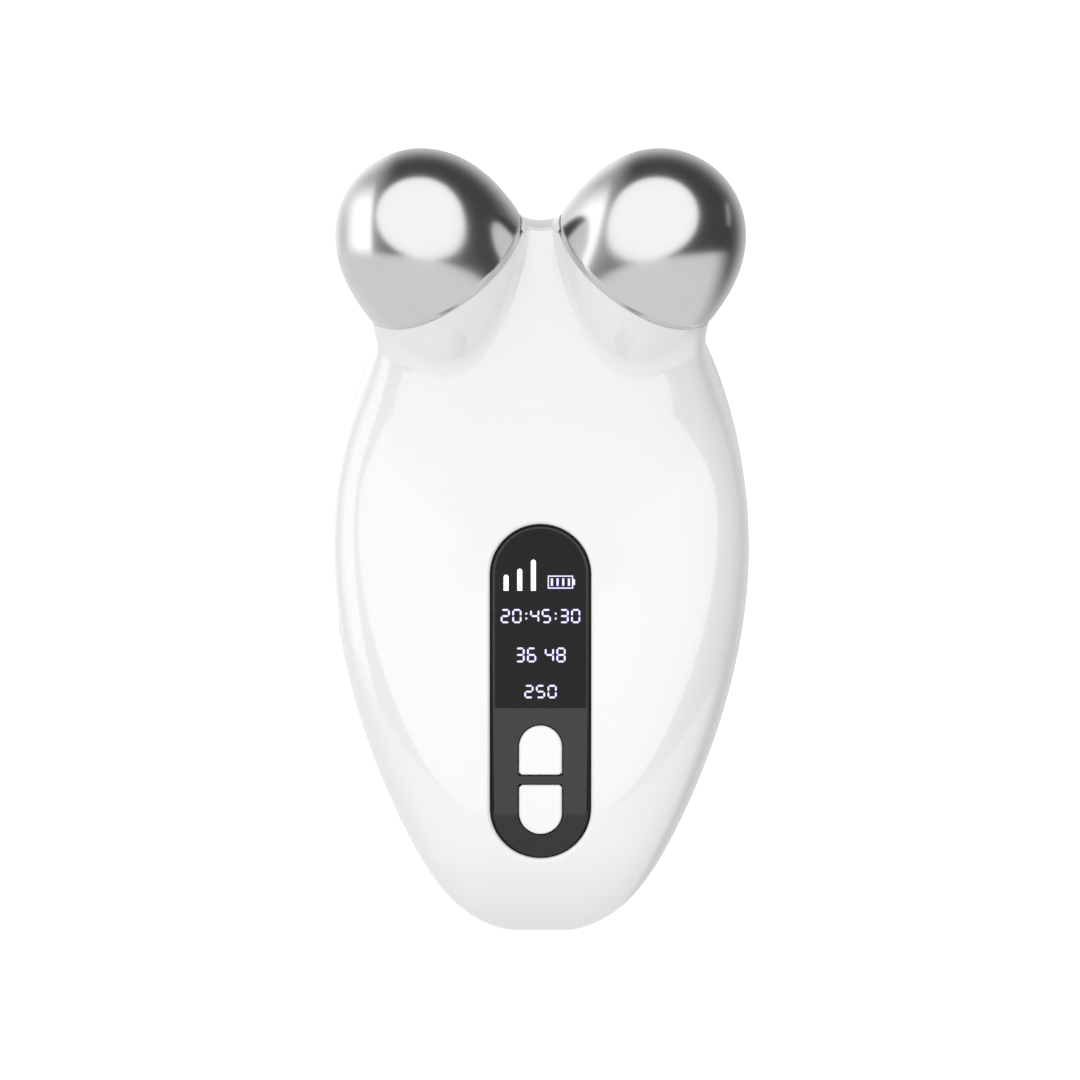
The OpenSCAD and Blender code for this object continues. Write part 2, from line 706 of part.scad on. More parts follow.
battery_conn = [7, -9];
battery_conn_w = 6;
battery_conn_l = 4.5;
battery_conn_t = 3.4;
module battery_connector() color("ivory")
    on_back(battery_conn[0], battery_conn[1], battery_conn_w, battery_conn_l, battery_conn_t);

// ---- Battery ---------------------------------------------------------------------------
module battery_cell() color("#3d6fa8")
    translate([-cell_w / 2, cell_y - cell_len / 2, cell_z]) cube([cell_w, cell_len, cell_t]);
module battery_pads() color("black") for (y = cradle_ribs)
    translate([-cell_w / 2 + cell_pad_inset, y - cell_pad_len / 2, cell_z - cell_pad_t])
        cube([cell_w - 2 * cell_pad_inset, cell_pad_len, cell_pad_t]);

// A round lead swept along its points.
lead_r = 0.6;
lead_sides = 8;
function unit(v) = v / norm(v);
function smooth(p, steps) = [for (i = [0:len(p) - 2], k = [0:steps - 1])
    let (a = p[max(0, i - 1)], b = p[i], c = p[i + 1], d = p[min(len(p) - 1, i + 2)], t = k / steps)
    0.5 * (2 * b + (c - a) * t + (2 * a - 5 * b + 4 * c - d) * t * t + (3 * b - a - 3 * c + d) * t * t * t)];
module lead(points, r = lead_r) {
    path = concat(smooth(points, 4), [points[len(points) - 1]]);
    n = len(path);
    rings = [for (i = [0:n - 1])
        let (t = unit(i == 0 ? points[1] - points[0]
                      : i == n - 1 ? points[len(points) - 1] - points[len(points) - 2]
                      : path[i + 1] - path[i - 1]),
             u = unit(cross(abs(t[0]) < 0.9 ? [1, 0, 0] : [0, 0, 1], t)), v = cross(t, u))
        each [for (k = [0:lead_sides - 1])
            path[i] + r * (cos(360 * k / lead_sides) * u + sin(360 * k / lead_sides) * v)]];
    sides = [for (i = [0:n - 2], k = [0:lead_sides - 1])
        let (a = i * lead_sides + k, b = i * lead_sides + (k + 1) % lead_sides)
        each [[a, a + lead_sides, b], [b, a + lead_sides, b + lead_sides]]];
    polyhedron(rings, concat(sides, [[for (k = [0:lead_sides - 1]) k],
        [for (k = [0:lead_sides - 1]) n * lead_sides - 1 - k]]), convexity = 4);
}

cell_head = cell_y + cell_len / 2;
module battery_leads() color("firebrick") for (x = [battery_conn[0] - 1, battery_conn[0] + 1]) {
    entry = battery_conn[1] + battery_conn_l / 2;
    z = board_back - battery_conn_t / 2;
    lead([[x, cell_head, cell_z + cell_t - 2], [x, cell_head + 1.6, cell_z + cell_t - 2],
          [x, cell_head + 2.2, cell_z + cell_t + 1], [x, cell_head - 4, cell_z + cell_t + 2.4],
          [x, entry + 6, z - 1.5], [x, entry + 2, z], [x, entry, z]]);
}

// ---- Charging socket ---------------------------------------------------------------------
socket_steel = 0.35;               // wall of the socket's shell
socket_floor = 1.2;                // thickness of its closed end
tongue_w = 6.68;
tongue_t = 0.7;
tongue_in = 1;                     // depth of the tongue's tip inside the mouth
module socket_shell() color("silver") difference() {
    socket_prism(socket_mouth, socket_mouth + socket_len, 0);
    socket_prism(socket_mouth - 1, socket_mouth + socket_len - socket_floor, -socket_steel);
}
module socket_tongue() color("black")
    translate([-tongue_w / 2, socket_mouth + tongue_in, socket_z - tongue_t / 2])
        cube([tongue_w, socket_len - socket_floor - tongue_in, tongue_t]);
module charge_board() color("#1d6b3a") difference() {
    translate([-charge_board_w / 2, charge_board_from, charge_board_top - charge_board_t])
        cube([charge_board_w, charge_board_len, charge_board_t]);
    for (side = SIDES) translate([side * charge_screw_x, charge_screw_y, charge_board_top - 2])
        cylinder(r = charge_screw_r, h = 3);
}
module charge_leads() color("black") for (x = [-1.6, 1.6]) {
    from = charge_screw_y - 2.6;
    to = charge_screw_y + 1.6;
    lead([[x, from, charge_board_top], [x, from, charge_board_top + 1.2],
          [x, (from + to) / 2, (charge_board_top + board_back) / 2],
          [x, to, board_back - 1.2], [x, to, board_back]]);
}

// ---- Axles ---------------------------------------------------------------------------------
shoulder_r = 3;
flange_r = 3.6;
flange_at = -1.9;                  // outer face of the axle's flange
flange_len = 1.1;
cup_from = -11;                    // inner end of the cup that holds the axle
stud_r = 2;
stud_end = -15.6;
neck_step = -0.6;                  // where the shoulder steps down to the bush
bore_r = axle_r + bush_play + bush_wall;
core_from = 0.25;
core_top = 13.2;
bush_flange_t = 0.5;
clip_t = 0.6;
clip_at = core_top + bush_flange_t + 0.05;
clip_r = 3.8;
groove_r = 2;
axle_end = 1;                      // length of the axle past its clip
washer_r = 3.4;
washer_t = 0.3;
terminal_r = 3.8;
tab_w = 2.4;
cup_r = 5.5;                       // outer radius of the yoke's cups
core_tube_r = 5.2;
rib_w = 1.2;                       // ribs between the core's tube and the roller shell
rib_h = 5.5;

module tube(r_in, r_out, from, to) translate([0, 0, from]) difference() {
    cylinder(r = r_out, h = to - from);
    translate([0, 0, -1]) cylinder(r = r_in, h = to - from + 2);
}
module rod(r, from, to) translate([0, 0, from]) cylinder(r = r, h = to - from);

module axle(side) color("silver") in_roller(side) {
    rod(stud_r, stud_end, cup_from + EPS);
    rod(axle_r, cup_from, flange_at - flange_len + EPS);
    rod(flange_r, flange_at - flange_len, flange_at);
    rod(shoulder_r, flange_at - EPS, neck_step);
    rod(axle_r, neck_step - EPS, clip_at);
    rod(groove_r, clip_at - EPS, clip_at + clip_t + EPS);
    rod(axle_r, clip_at + clip_t, clip_at + clip_t + axle_end);
}

module axle_seal(side) color("dimgray") in_roller(side)
    tube(shoulder_r, collar_bore_r - SEATED, flange_at, -roller_gap - 0.25);

module contact_washer(side) color("peru") in_roller(side)
    tube(axle_r + SEATED, washer_r, neck_step, neck_step + washer_t);

module retaining_clip(side) color("gray") in_roller(side) difference() {
    tube(groove_r, clip_r, clip_at, clip_at + clip_t);
    translate([-groove_r * 0.8, 0, clip_at - 1]) cube([groove_r * 1.6, 6, 3]);
}

terminal_t = 0.5;
tab_end = 6.8;                     // reach of a terminal's tab from its axle
module lead_terminal(side) color("peru") in_roller(side) {
    tube(stud_r, terminal_r, cup_from - terminal_t, cup_from);
    translate([-tab_w / 2, terminal_r - 0.6, cup_from - terminal_t])
        cube([tab_w, tab_end - terminal_r + 0.6, terminal_t]);
}

nut_t = 3.2;
module axle_nut(side) color("silver") in_roller(side)
    translate([0, 0, cup_from - terminal_t - nut_t]) difference() {
        cylinder(r = 7 / sqrt(3), h = nut_t, $fn = 6);
        translate([0, 0, -1]) cylinder(r = stud_r, h = nut_t + 2);
    }

pad_x = 3.4;                       // place of a roller's lead on the board
pad_y = 7;
module electrode_lead(side) color(side == LEFT ? "orange" : "gold")
    lead([roller_point(side, [0, tab_end, cup_from - terminal_t / 2]),
          roller_point(side, [0, tab_end + 1.5, cup_from - terminal_t / 2]),
          [side * 6, 24, 16.2], [side * 4.4, 16, 14.8], [side * pad_x, 9.4, 16.4],
          [side * pad_x, pad_y, board_back - 1.8], [side * pad_x, pad_y, board_back]]);

module axle_yoke() color("whitesmoke") difference() {
    union() {
        for (side = SIDES) in_roller(side) {
            rod(cup_r, cup_from, flange_at - flange_len);
            translate([side > 0 ? 0 : -ear_out, -yoke_t / 2, -ear_back - 3]) cube([ear_out, yoke_t, 6]);
            translate([side * ear_out, yoke_t / 2, -ear_back]) rotate([90, 0, 0]) cylinder(r = 3, h = yoke_t);
        }
        in_head() translate([-9, 9.4, -yoke_t / 2]) cube([18, 6.2, yoke_t]);
        in_head() translate([yoke_screw_at[0], yoke_screw_at[1], -yoke_t / 2]) cylinder(r = 3, h = yoke_t);
    }
    for (side = SIDES) in_roller(side) {
        rod(axle_r, cup_from - 1, 1);
        rod(5, cup_from - 8, cup_from);
    }
    at_yoke_screws() translate([0, 0, -5]) cylinder(r = screw_r, h = 10);
}

// ---- Rollers -----------------------------------------------------------------------------
dome_round = 2.46;                 // how long the flank stays straight
dome_blunt = 2.06;                 // how blunt the tip is
dome_steps = 22;

// Points of a dome's outline from the swell to the tip.
function dome(r, h) = [for (i = [0:dome_steps])
    let (t = 90 * i / dome_steps)
    [r * pow(cos(t), 2 / dome_blunt), swell_h + (h - swell_h) * pow(sin(t), 2 / dome_round)]];

module roller_shell(side) color("silver") in_roller(side) rotate_extrude($fn = 96)
    polygon(concat([[rim_r, 0]], dome(roller_r, roller_h),
                   [for (i = [dome_steps:-1:0]) dome(rim_r - dome_wall, roller_h - dome_wall)[i]],
                   [[rim_r - dome_wall, 0]]));

module roller_core(side) color("lightgray") in_roller(side) {
    tube(bore_r, rim_r - dome_wall - SEATED, core_from, swell_h);
    tube(bore_r, core_tube_r, core_from, core_top);
    for (a = [0:60:300]) rotate([0, 0, a]) translate([core_tube_r - 0.2, -rib_w / 2, swell_h - EPS])
        cube([rim_r - dome_wall - core_tube_r - 0.4, rib_w, rib_h]);
}

module inner_bush(side) color("darkgoldenrod") in_roller(side) {
    tube(axle_r + bush_play, bore_r, -0.25, core_from + bush_len);
    tube(axle_r + bush_play, bore_r + 1, -0.25, core_from);
}
module outer_bush(side) color("darkgoldenrod") in_roller(side) {
    tube(axle_r + bush_play, bore_r, core_top - bush_len, core_top + bush_flange_t);
    tube(axle_r + bush_play, bore_r + 1, core_top, core_top + bush_flange_t);
}

// ---- Drawing ---------------------------------------------------------------------------------
front_shell();
rear_shell();
housing_screws();
screw_plugs();
panel_cover();
cover_tape();
display_panel();
display_holder();
display_flex();
flex_connector();
upper_button();
lower_button();
upper_switch();
lower_switch();
main_board();
board_screws();
microcontroller();
boost_transformer();
capacitors();
battery_connector();
battery_cell();
battery_pads();
battery_leads();
charge_board();
charge_board_screws();
charge_leads();
socket_shell();
socket_tongue();
axle_yoke();
yoke_screws();
for (i = [0, 1]) {
    name = SIDE_NAMES[i];
    side = SIDES[i];
    roller_shell(side);
    roller_core(side);
    inner_bush(side);
    outer_bush(side);
    axle(side);
    axle_seal(side);
    contact_washer(side);
    retaining_clip(side);
    axle_nut(side);
    lead_terminal(side);
    electrode_lead(side);
}
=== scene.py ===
"""Looks of the handheld facial toning device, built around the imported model.

The housing is one smooth surface, worked out from the same form values as the solids and then
split into its front and rear shells. Lengths are millimetres until a mesh is made.
"""
import json
import math

import bpy
import numpy as np
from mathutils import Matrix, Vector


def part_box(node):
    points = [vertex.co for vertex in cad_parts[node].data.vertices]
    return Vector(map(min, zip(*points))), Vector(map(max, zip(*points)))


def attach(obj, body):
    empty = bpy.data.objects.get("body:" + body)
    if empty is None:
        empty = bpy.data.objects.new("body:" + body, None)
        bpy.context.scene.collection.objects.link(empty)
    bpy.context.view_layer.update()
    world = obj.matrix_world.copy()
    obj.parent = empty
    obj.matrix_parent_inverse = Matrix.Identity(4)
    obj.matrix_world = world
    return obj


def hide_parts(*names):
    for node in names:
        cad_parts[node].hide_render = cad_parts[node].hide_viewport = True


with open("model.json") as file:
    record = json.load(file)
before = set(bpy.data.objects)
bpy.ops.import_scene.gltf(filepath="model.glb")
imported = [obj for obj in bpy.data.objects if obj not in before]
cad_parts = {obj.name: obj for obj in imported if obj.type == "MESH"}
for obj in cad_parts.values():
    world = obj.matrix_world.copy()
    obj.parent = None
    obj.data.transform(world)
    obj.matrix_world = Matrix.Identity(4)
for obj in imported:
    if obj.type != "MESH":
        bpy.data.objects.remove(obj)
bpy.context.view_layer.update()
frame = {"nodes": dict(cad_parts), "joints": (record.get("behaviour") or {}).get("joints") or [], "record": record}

MM = 0.001
LEFT, RIGHT = -1, 1
SIDE_NAME = {LEFT: "left", RIGHT: "right"}


# ---- Sizes taken from the frame ----
def box_mm(node):
    low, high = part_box(node)
    return np.array(low) / MM, np.array(high) / MM


right_spin = next(j for j in frame["joints"] if j["name"] == "right_roller_spin")
AXIS_X, AXIS_Y, AXIS_Z = right_spin["axis"]
RIM_CENTRE = np.array(right_spin["pos_m"]) / MM
LEAN = math.atan2(AXIS_Z, AXIS_Y)

# ---- Form of the housing ----
HALF_W = 28.8
TAIL_LEN = 53.2
PARTING_Z = 16.5
FRONT_DEPTH, FRONT_R, FRONT_CREST = 15.5, 115.0, -13.0
BACK_DEPTH, BACK_R, BACK_CREST, FLAT_CUT = 16.5, 220.0, 2.0, 1.3
BEND_R, BEND_START, BEND_REACH = 34.0, 5.5, 3.0
BEND_END = BEND_START + BEND_R * LEAN
HEAD_LEN, HEAD_FRONT, HEAD_FALL, HEAD_BACK = 25.1, 11.8, 0.374, 14.0
NECK_HALF_W = 22.5
FRONT_SQUARE, BACK_SQUARE = 4.5, 2.3
FRONT_CREST_ROUND, FRONT_CREST_EDGE = 2.0, 4.5
BACK_CREST_ROUND, BACK_CREST_EDGE = 2.0, 2.2
RIDGE_DIP, RIDGE_HALF_W = 0.9, 2.9
FRONT_TAIL_CAP, BACK_TAIL_CAP = (13.3, 2.5), (33.3, 2.4)  # length and power
COLLAR_R, COLLAR_TAPER, COLLAR_SKEW, COLLAR_FILLET, COLLAR_PAST = 12.1, 0.35, 0.45, 3.5, 4.0
COLLARS_FROM_Y = BEND_START - 2
LEAST_FILLET, FLAT_ROUND = 1.0, 0.5
RIM_GAP = 0.22
SEAM = 0.16
SHELL_T = 1.3
# Half width: a cubic arc each from the tail's tip to the hip, the widest place and the neck.
TIP_HANDLE = 7.7
HIP_S, HIP_HALF_W, HIP_SLOPE, HIP_HANDLES = -40.0, 18.15, 0.52, (10.6, 8.6)
WIDEST_HANDLES = 16.2, 18.0
NECK_S, NECK_HANDLE = BEND_END + 8, 4.5
# The spine's table, and how far its bend is eased.
STEP, SPINE_REACH, BEND_EASE = 0.025, 70.0, 3.0
STRAIGHT_TO_Y, LEAST_STRETCH = -12.0, 0.4
# The depths' tables, the handles of the curve that joins them and the width of their smoothing.
DEPTH_REACH, DEPTH_HANDLE, DEPTH_EASE = 60.0, 2.2, 1.25
NUDGE = 0.01


def bezier(points, count=3000):
    """Points along one cubic arc."""
    t = np.linspace(0, 1, count)[:, None]
    a, b, c, d = np.array(points, float)
    return (1 - t) ** 3 * a + 3 * (1 - t) ** 2 * t * b + 3 * (1 - t) * t * t * c + t**3 * d


def curve_of(*arcs):
    """A height over a place, from cubic arcs that follow each other."""
    line = np.concatenate([bezier(a) for a in arcs])
    return lambda s: np.interp(s, line[:, 0], line[:, 1])


half_width = curve_of(
    [(-TAIL_LEN, 0), (-TAIL_LEN, TIP_HANDLE),
     (HIP_S - HIP_HANDLES[0], HIP_HALF_W - HIP_HANDLES[0] * HIP_SLOPE), (HIP_S, HIP_HALF_W)],
    [(HIP_S, HIP_HALF_W), (HIP_S + HIP_HANDLES[1], HIP_HALF_W + HIP_HANDLES[1] * HIP_SLOPE),
     (-WIDEST_HANDLES[0], HALF_W), (0, HALF_W)],
    [(0, HALF_W), (WIDEST_HANDLES[1], HALF_W),
     (NECK_S - NECK_HANDLE, NECK_HALF_W), (NECK_S, NECK_HALF_W)],
)


def long_arc(depth, radius, crest):
    return lambda s: depth - radius + np.sqrt(radius**2 - (s - crest) ** 2)


def flat(height):
    """The same height everywhere."""
    return lambda s: height + 0 * s


def places(reach):
    """Even steps from -reach to reach."""
    return np.linspace(-reach, reach, round(2 * reach / STEP) + 1)


def averaged(values, deviation, reach):
    """A running average with bell-shaped weights. It is shorter at each end by its reach."""
    weight = np.exp(-((places(reach) / deviation) ** 2) / 2)
    return np.convolve(values, weight / weight.sum(), "valid")


SPINE_S = places(SPINE_REACH)
bend_share = (places(SPINE_REACH + BEND_EASE) - BEND_START) / (BEND_END - BEND_START)
SPINE_LEAN = LEAN * averaged(np.clip(bend_share, 0, 1), BEND_EASE / 3, BEND_EASE)
SPINE_TURN = np.gradient(SPINE_LEAN, SPINE_S[1] - SPINE_S[0])
SPINE_Y = np.cumsum(np.cos(SPINE_LEAN)) * (SPINE_S[1] - SPINE_S[0])
SPINE_Z = np.cumsum(np.sin(SPINE_LEAN)) * (SPINE_S[1] - SPINE_S[0])
SPINE_Y += -SPINE_REACH - SPINE_Y[0]
SPINE_Z += PARTING_Z - SPINE_Z[0]


def spine_frame(s):
    """Y, Z and lean of the spine, which curves gently in and out of its bend."""
    return [np.interp(s, SPINE_S, values) for values in (SPINE_Y, SPINE_Z, SPINE_LEAN)]


def to_spine(p):
    """Distance along the spine and height over it."""
    y, z = p[:, 1], p[:, 2]
    s, o = y.copy(), z - PARTING_Z
    bent = y > STRAIGHT_TO_Y
    if bent.any():
        s[bent], o[bent] = to_bent_spine(y[bent], z[bent])
    return s, o


def to_bent_spine(y, z, rounds=5):
    s = y.copy()
    for _ in range(rounds):
        at_y, at_z, lean = spine_frame(s)
        dy, dz = y - at_y, z - at_z
        past = dy * np.cos(lean) + dz * np.sin(lean)
        over = dz * np.cos(lean) - dy * np.sin(lean)
        stretch = np.maximum(LEAST_STRETCH, 1 - over * np.interp(s, SPINE_S, SPINE_TURN))
        s = np.clip(s + past / stretch, 1 - SPINE_REACH, SPINE_REACH - 1)
    at_y, at_z, lean = spine_frame(s)
    return s, (z - at_z) * np.cos(lean) - (y - at_y) * np.sin(lean)


def smooth_depth(side, arc, head):
    """Depth over the spine: the handle's arc and the head's line, joined by one even curve."""
    s0, s1 = BEND_START - BEND_REACH, BEND_END + BEND_REACH
    y0, z0 = s0, PARTING_Z + side * arc(s0)
    rise = side * (arc(s0 + NUDGE) - arc(s0 - NUDGE)) / (2 * NUDGE)
    fall = side * (head(s1 + NUDGE) - head(s1 - NUDGE)) / (2 * NUDGE)
    y1, z1, lean = (float(v) for v in spine_frame(s1))
    height = side * head(s1)
    y1, z1 = y1 - height * math.sin(lean), z1 + height * math.cos(lean)
    angle = lean + math.atan(fall)
    run = (y1 - y0) / DEPTH_HANDLE
    curve = bezier([(y0, z0), (y0 + run, z0 + run * rise),
                    (y1 - run * math.cos(angle), z1 - run * math.sin(angle)), (y1, z1)])
    s, o = to_spine(np.column_stack([np.zeros(len(curve)), curve]))
    table = places(DEPTH_REACH)
    joined = np.where(table > s[-1], head(table), np.interp(table, s, side * o))
    depth = np.where(table < s[0], arc(np.minimum(table, s0)), joined)
    cut = round(DEPTH_EASE / STEP)
    return table[cut:-cut], averaged(depth, DEPTH_EASE / 2.5, DEPTH_EASE)


def capped(table, length, power):
    """A depth that comes to nothing at the tip of the tail."""
    def depth(s):
        t = np.clip((length - TAIL_LEN - s) / length, 0, 1)
        return np.interp(s, *table) * np.sqrt(np.clip(1 - t**power, 0, 1))

    return depth


def head_front(s):
    return HEAD_FRONT - HEAD_FALL * (s - BEND_END)


front_arc = long_arc(FRONT_DEPTH, FRONT_R, FRONT_CREST)
back_arc = long_arc(BACK_DEPTH + FLAT_CUT, BACK_R, BACK_CREST)
front_depth = capped(smooth_depth(1, front_arc, head_front), *FRONT_TAIL_CAP)
back_depth = capped(smooth_depth(-1, back_arc, flat(HEAD_BACK)), *BACK_TAIL_CAP)


def norms(rows):
    return np.linalg.norm(rows, axis=1)


def unit(rows):
    return rows / norms(rows)[:, None]


HEAD_FACE = np.array([0, -math.sin(LEAN), math.cos(LEAN)])


def roller_frame(side):
    """Rim centre and outward axis of a roller."""
    return RIM_CENTRE * (side, 1, 1), np.array([side * AXIS_X, AXIS_Y, AXIS_Z])


def rim_height(p, side):
    centre, axis = roller_frame(side)
    return (p - centre) @ axis


def body_distance(p):
    """Distance to the housing without its collars, and the direction in which it grows."""
    s, o = to_spine(p)
    # Superellipse sections, whose crest sinks towards the head's end.
    front = o >= 0
    n = np.where(front, FRONT_SQUARE, BACK_SQUARE)
    e = np.where(front, FRONT_CREST_ROUND, BACK_CREST_ROUND)
    q = np.where(front, FRONT_CREST_EDGE, BACK_CREST_EDGE)
    w = np.maximum(half_width(s), 1e-3)
    d = np.maximum(np.where(front, front_depth(s), back_depth(s)), 1e-3)
    reach = HEAD_LEN - RIDGE_DIP * np.clip(1 - (p[:, 0] / RIDGE_HALF_W) ** 2, 0, 1)
    t = np.clip((s - BEND_END) / reach, 0, 2)
    a, b = np.abs(p[:, 0]) / w + 1e-9, np.abs(o) / d + 1e-9
    head = t > 0
    t = np.maximum(t, 1e-6)
    g = np.where(head, (b**e + t**q) ** (1 / e), b)
    h = (a**n + g**n) ** (1 / n)
    k = h ** (1 - n)
    dx = np.sign(p[:, 0]) * k * a ** (n - 1) / w
    do = np.sign(o) * np.where(head, k * g ** (n - e) * b ** (e - 1) / d, k * b ** (n - 1) / d)
    ds = np.where(head, k * g ** (n - e) * t ** (q - 1) * q / e / reach, 0)
    steep = np.sqrt(dx * dx + do * do + ds * ds + 1e-12)
    lean = np.interp(s, SPINE_S, SPINE_LEAN)
    grows = np.stack([dx, ds * np.cos(lean) - do * np.sin(lean),
                      ds * np.sin(lean) + do * np.cos(lean)], 1)
    return np.maximum((h - 1) / steep, -TAIL_LEN - s), grows / steep[:, None]


def collar_distance(p, side):
    """The same for one collar: a skewed cone, which goes straight on past the rim."""
    centre, axis = roller_frame(side)
    outward = side * np.cross(axis, HEAD_FACE)
    past = RIM_GAP + (p - centre) @ axis
    back = np.maximum(-past, 0)
    across = p - centre - (past - RIM_GAP)[:, None] * axis - COLLAR_SKEW * back[:, None] * outward
    radius = np.maximum(norms(across), 1e-6)
    across /= radius[:, None]
    widening = np.where(back > 0, COLLAR_SKEW * (across @ outward) + COLLAR_TAPER, 0)
    steep = np.sqrt(1 + widening**2)
    cone = (radius - COLLAR_R + COLLAR_TAPER * back) / steep
    grows = (across - widening[:, None] * axis) / steep[:, None]
    return np.maximum(cone, past - COLLAR_PAST), grows


def blended(a, b, k):
    """Smallest of two distances, with a round transition of size k."""
    t = np.clip(0.5 + 0.5 * (b - a) / k, 0, 1)
    return b + (a - b) * t - k * t * (1 - t)


def housing_distance(p):
    """Distance to the whole housing, rounded where it is cut flat by the floor's plane."""
    d, way = body_distance(p)
    near = p[:, 1] > COLLARS_FROM_Y
    if near.any():
        q, body, body_way = p[near], d[near], way[near]
        left, right = collar_distance(q, LEFT), collar_distance(q, RIGHT)
        first = left[0] < right[0]
        collar = np.where(first, left[0], right[0])
        collar_way = np.where(first[:, None], left[1], right[1])
        fillet = COLLAR_FILLET * (1 - np.einsum("ij,ij->i", body_way, collar_way))
        d[near] = blended(body, collar, np.maximum(fillet, LEAST_FILLET))
    return -blended(-d, p[:, 2], FLAT_ROUND)


# ---- Surfaces ----
# A surface is its points, their outward normals and its triangles.
PITCH = 0.6
UPWARD = 0.9  # least Z of an upward normal
ROD_SIDES, ROD_LIP, LATHE_SIDES = 48, 0.08, 192
NET_HALF_X, NET_Y, NET_Z = 50, 180, 80
NET_FROM_Y, NET_FROM_Z = -TAIL_LEN - 1, -1.1
LARGEST_MOVE, LEAST_STEEP, CUT_ROUNDS = 0.4, 0.1, 12


def differences(field, p):
    """How a field changes over two nudges along each axis."""
    return np.stack([field(p + NUDGE * e) - field(p - NUDGE * e) for e in np.eye(3)], axis=1)


def gradient(field, p):
    """Unit direction in which a field grows, at each point."""
    g = differences(field, p)
    return g / np.maximum(norms(g), 1e-9)[:, None]


def onto(field, p, rounds=3):
    """Points drawn onto the surface where a field is zero."""
    for _ in range(rounds):
        g = differences(field, p) / (2 * NUDGE)
        move = field(p) / np.maximum((g * g).sum(1), LEAST_STEEP)
        p = p - np.clip(move, -LARGEST_MOVE, LARGEST_MOVE)[:, None] * g
    return p


def housing_surface():
    """The whole outside of the housing, as an even net: one point for each cell that it passes."""
    x = PITCH * (0.5 + np.arange(NET_HALF_X))
    y = NET_FROM_Y + PITCH * np.arange(NET_Y)
    z = NET_FROM_Z + PITCH * np.arange(NET_Z)
    gy, gz = (g.ravel() for g in np.meshgrid(y, z, indexing="ij"))
    half = np.stack([housing_distance(np.stack([np.full(gy.size, v), gy, gz], 1)) for v in x])
    value = np.concatenate([half[::-1], half]).reshape(2 * NET_HALF_X, NET_Y, NET_Z)
    low = np.array([-x[-1], y[0], z[0]])
    crossings, cells = [], []
    for axis, ahead in enumerate(np.eye(3, dtype=int)):
        beside, over = np.roll(ahead, 1), np.roll(ahead, 2)
        a, b = np.delete(value, -1, axis), np.delete(value, 0, axis)
        at = np.argwhere((a < 0) != (b < 0))
        share = a[tuple(at.T)] / (a[tuple(at.T)] - b[tuple(at.T)])
        crossings.append(low + PITCH * (at + share[:, None] * ahead))
        cells.append(at[:, None] - np.array([0 * ahead, beside, beside + over, over]))
    cells = np.ravel_multi_index(np.moveaxis(np.concatenate(cells), -1, 0), value.shape)
    index = np.unique(cells, return_inverse=True)[1].reshape(-1)
    each = np.repeat(np.concatenate(crossings), 4, axis=0)
    points = np.stack([np.bincount(index, each[:, i]) for i in range(3)], 1)
    points = onto(housing_distance, points / np.bincount(index)[:, None])
    normals = gradient(housing_distance, points)
    a, b, c, d = index.reshape(-1, 4).T
    first = (norms(points[a] - points[c]) < norms(points[b] - points[d]))[:, None]
    triangles = np.concatenate([np.where(first, np.stack([a, b, c], 1), np.stack([a, b, d], 1)),
                                np.where(first, np.stack([a, c, d], 1), np.stack([b, c, d], 1))])
    return points, normals, outward(points, normals, triangles)


def outward(points, normals, triangles):
    """Triangles turned so that they face the way their normals do."""
    a, b, c = (points[triangles[:, i]] for i in range(3))
    facing = np.einsum("ij,ij->i", np.cross(b - a, c - a), normals[triangles].sum(1))
    return np.where(facing[:, None] < 0, triangles[:, ::-1], triangles)


def compact(points, normals, triangles):
    used, index = np.unique(triangles, return_inverse=True)
    return points[used], normals[used], index.reshape(-1, 3)


def scored(surface, value, field):
    """A surface with a line of edges where value is zero, its triangles in two lots.

    The first lot is on the positive side. The new points are drawn to where the field is zero.
    """
    points, normals, triangles = surface
    f = value(points)
    f = np.where(np.abs(f) < 1e-7, 1e-7, f)
    above = f[triangles] > 0
    count = above.sum(1)
    crossed = (count == 1) | (count == 2)
    mixed, above = triangles[crossed], above[crossed]
    lone_above = above.sum(1) == 1
    lone = np.where(lone_above[:, None], above, ~above).argmax(1)
    at = np.arange(len(mixed))
    a, b, c = (mixed[at, (lone + i) % 3] for i in range(3))
    edges = np.sort(np.concatenate([np.stack([a, b], 1), np.stack([a, c], 1)]), axis=1)
    edges, index = np.unique(edges, axis=0, return_inverse=True)
    index = index.reshape(-1)
    low, high = np.where(f[edges[:, :1]] < 0, edges, edges[:, ::-1]).T
    p, q, fp, fq = points[low], points[high], f[low], f[high]
    for _ in range(CUT_ROUNDS):
        r = p + (q - p) * (fp / (fp - fq))[:, None]
        fr = value(r)
        under = fr < 0
        p, fp = np.where(under[:, None], r, p), np.where(under, fr, fp)
        q, fq = np.where(under[:, None], q, r), np.where(under, fq, np.maximum(fr, 1e-12))
    n = gradient(field, r)
    r = r - field(r)[:, None] * n
    new = len(points) + index
    ab, ac = new[:len(mixed)], new[len(mixed):]
    tip = np.stack([a, ab, ac], 1)
    rest = np.concatenate([np.stack([ab, b, c], 1), np.stack([ab, c, ac], 1)])
    points, normals = np.concatenate([points, r]), np.concatenate([normals, n])
    rest_above = np.tile(~lone_above, 2)
    upper = np.concatenate([triangles[count == 3], tip[lone_above], rest[rest_above]])
    lower = np.concatenate([triangles[count == 0], tip[~lone_above], rest[~rest_above]])
    return points, normals, upper, lower


def split(surface, value, field):
    """Both sides of a surface cut where value is zero: the positive side first."""
    points, normals, upper, lower = scored(surface, value, field)
    return compact(points, normals, upper), compact(points, normals, lower)


def kept(surface, value, field):
    return split(surface, value, field)[0]


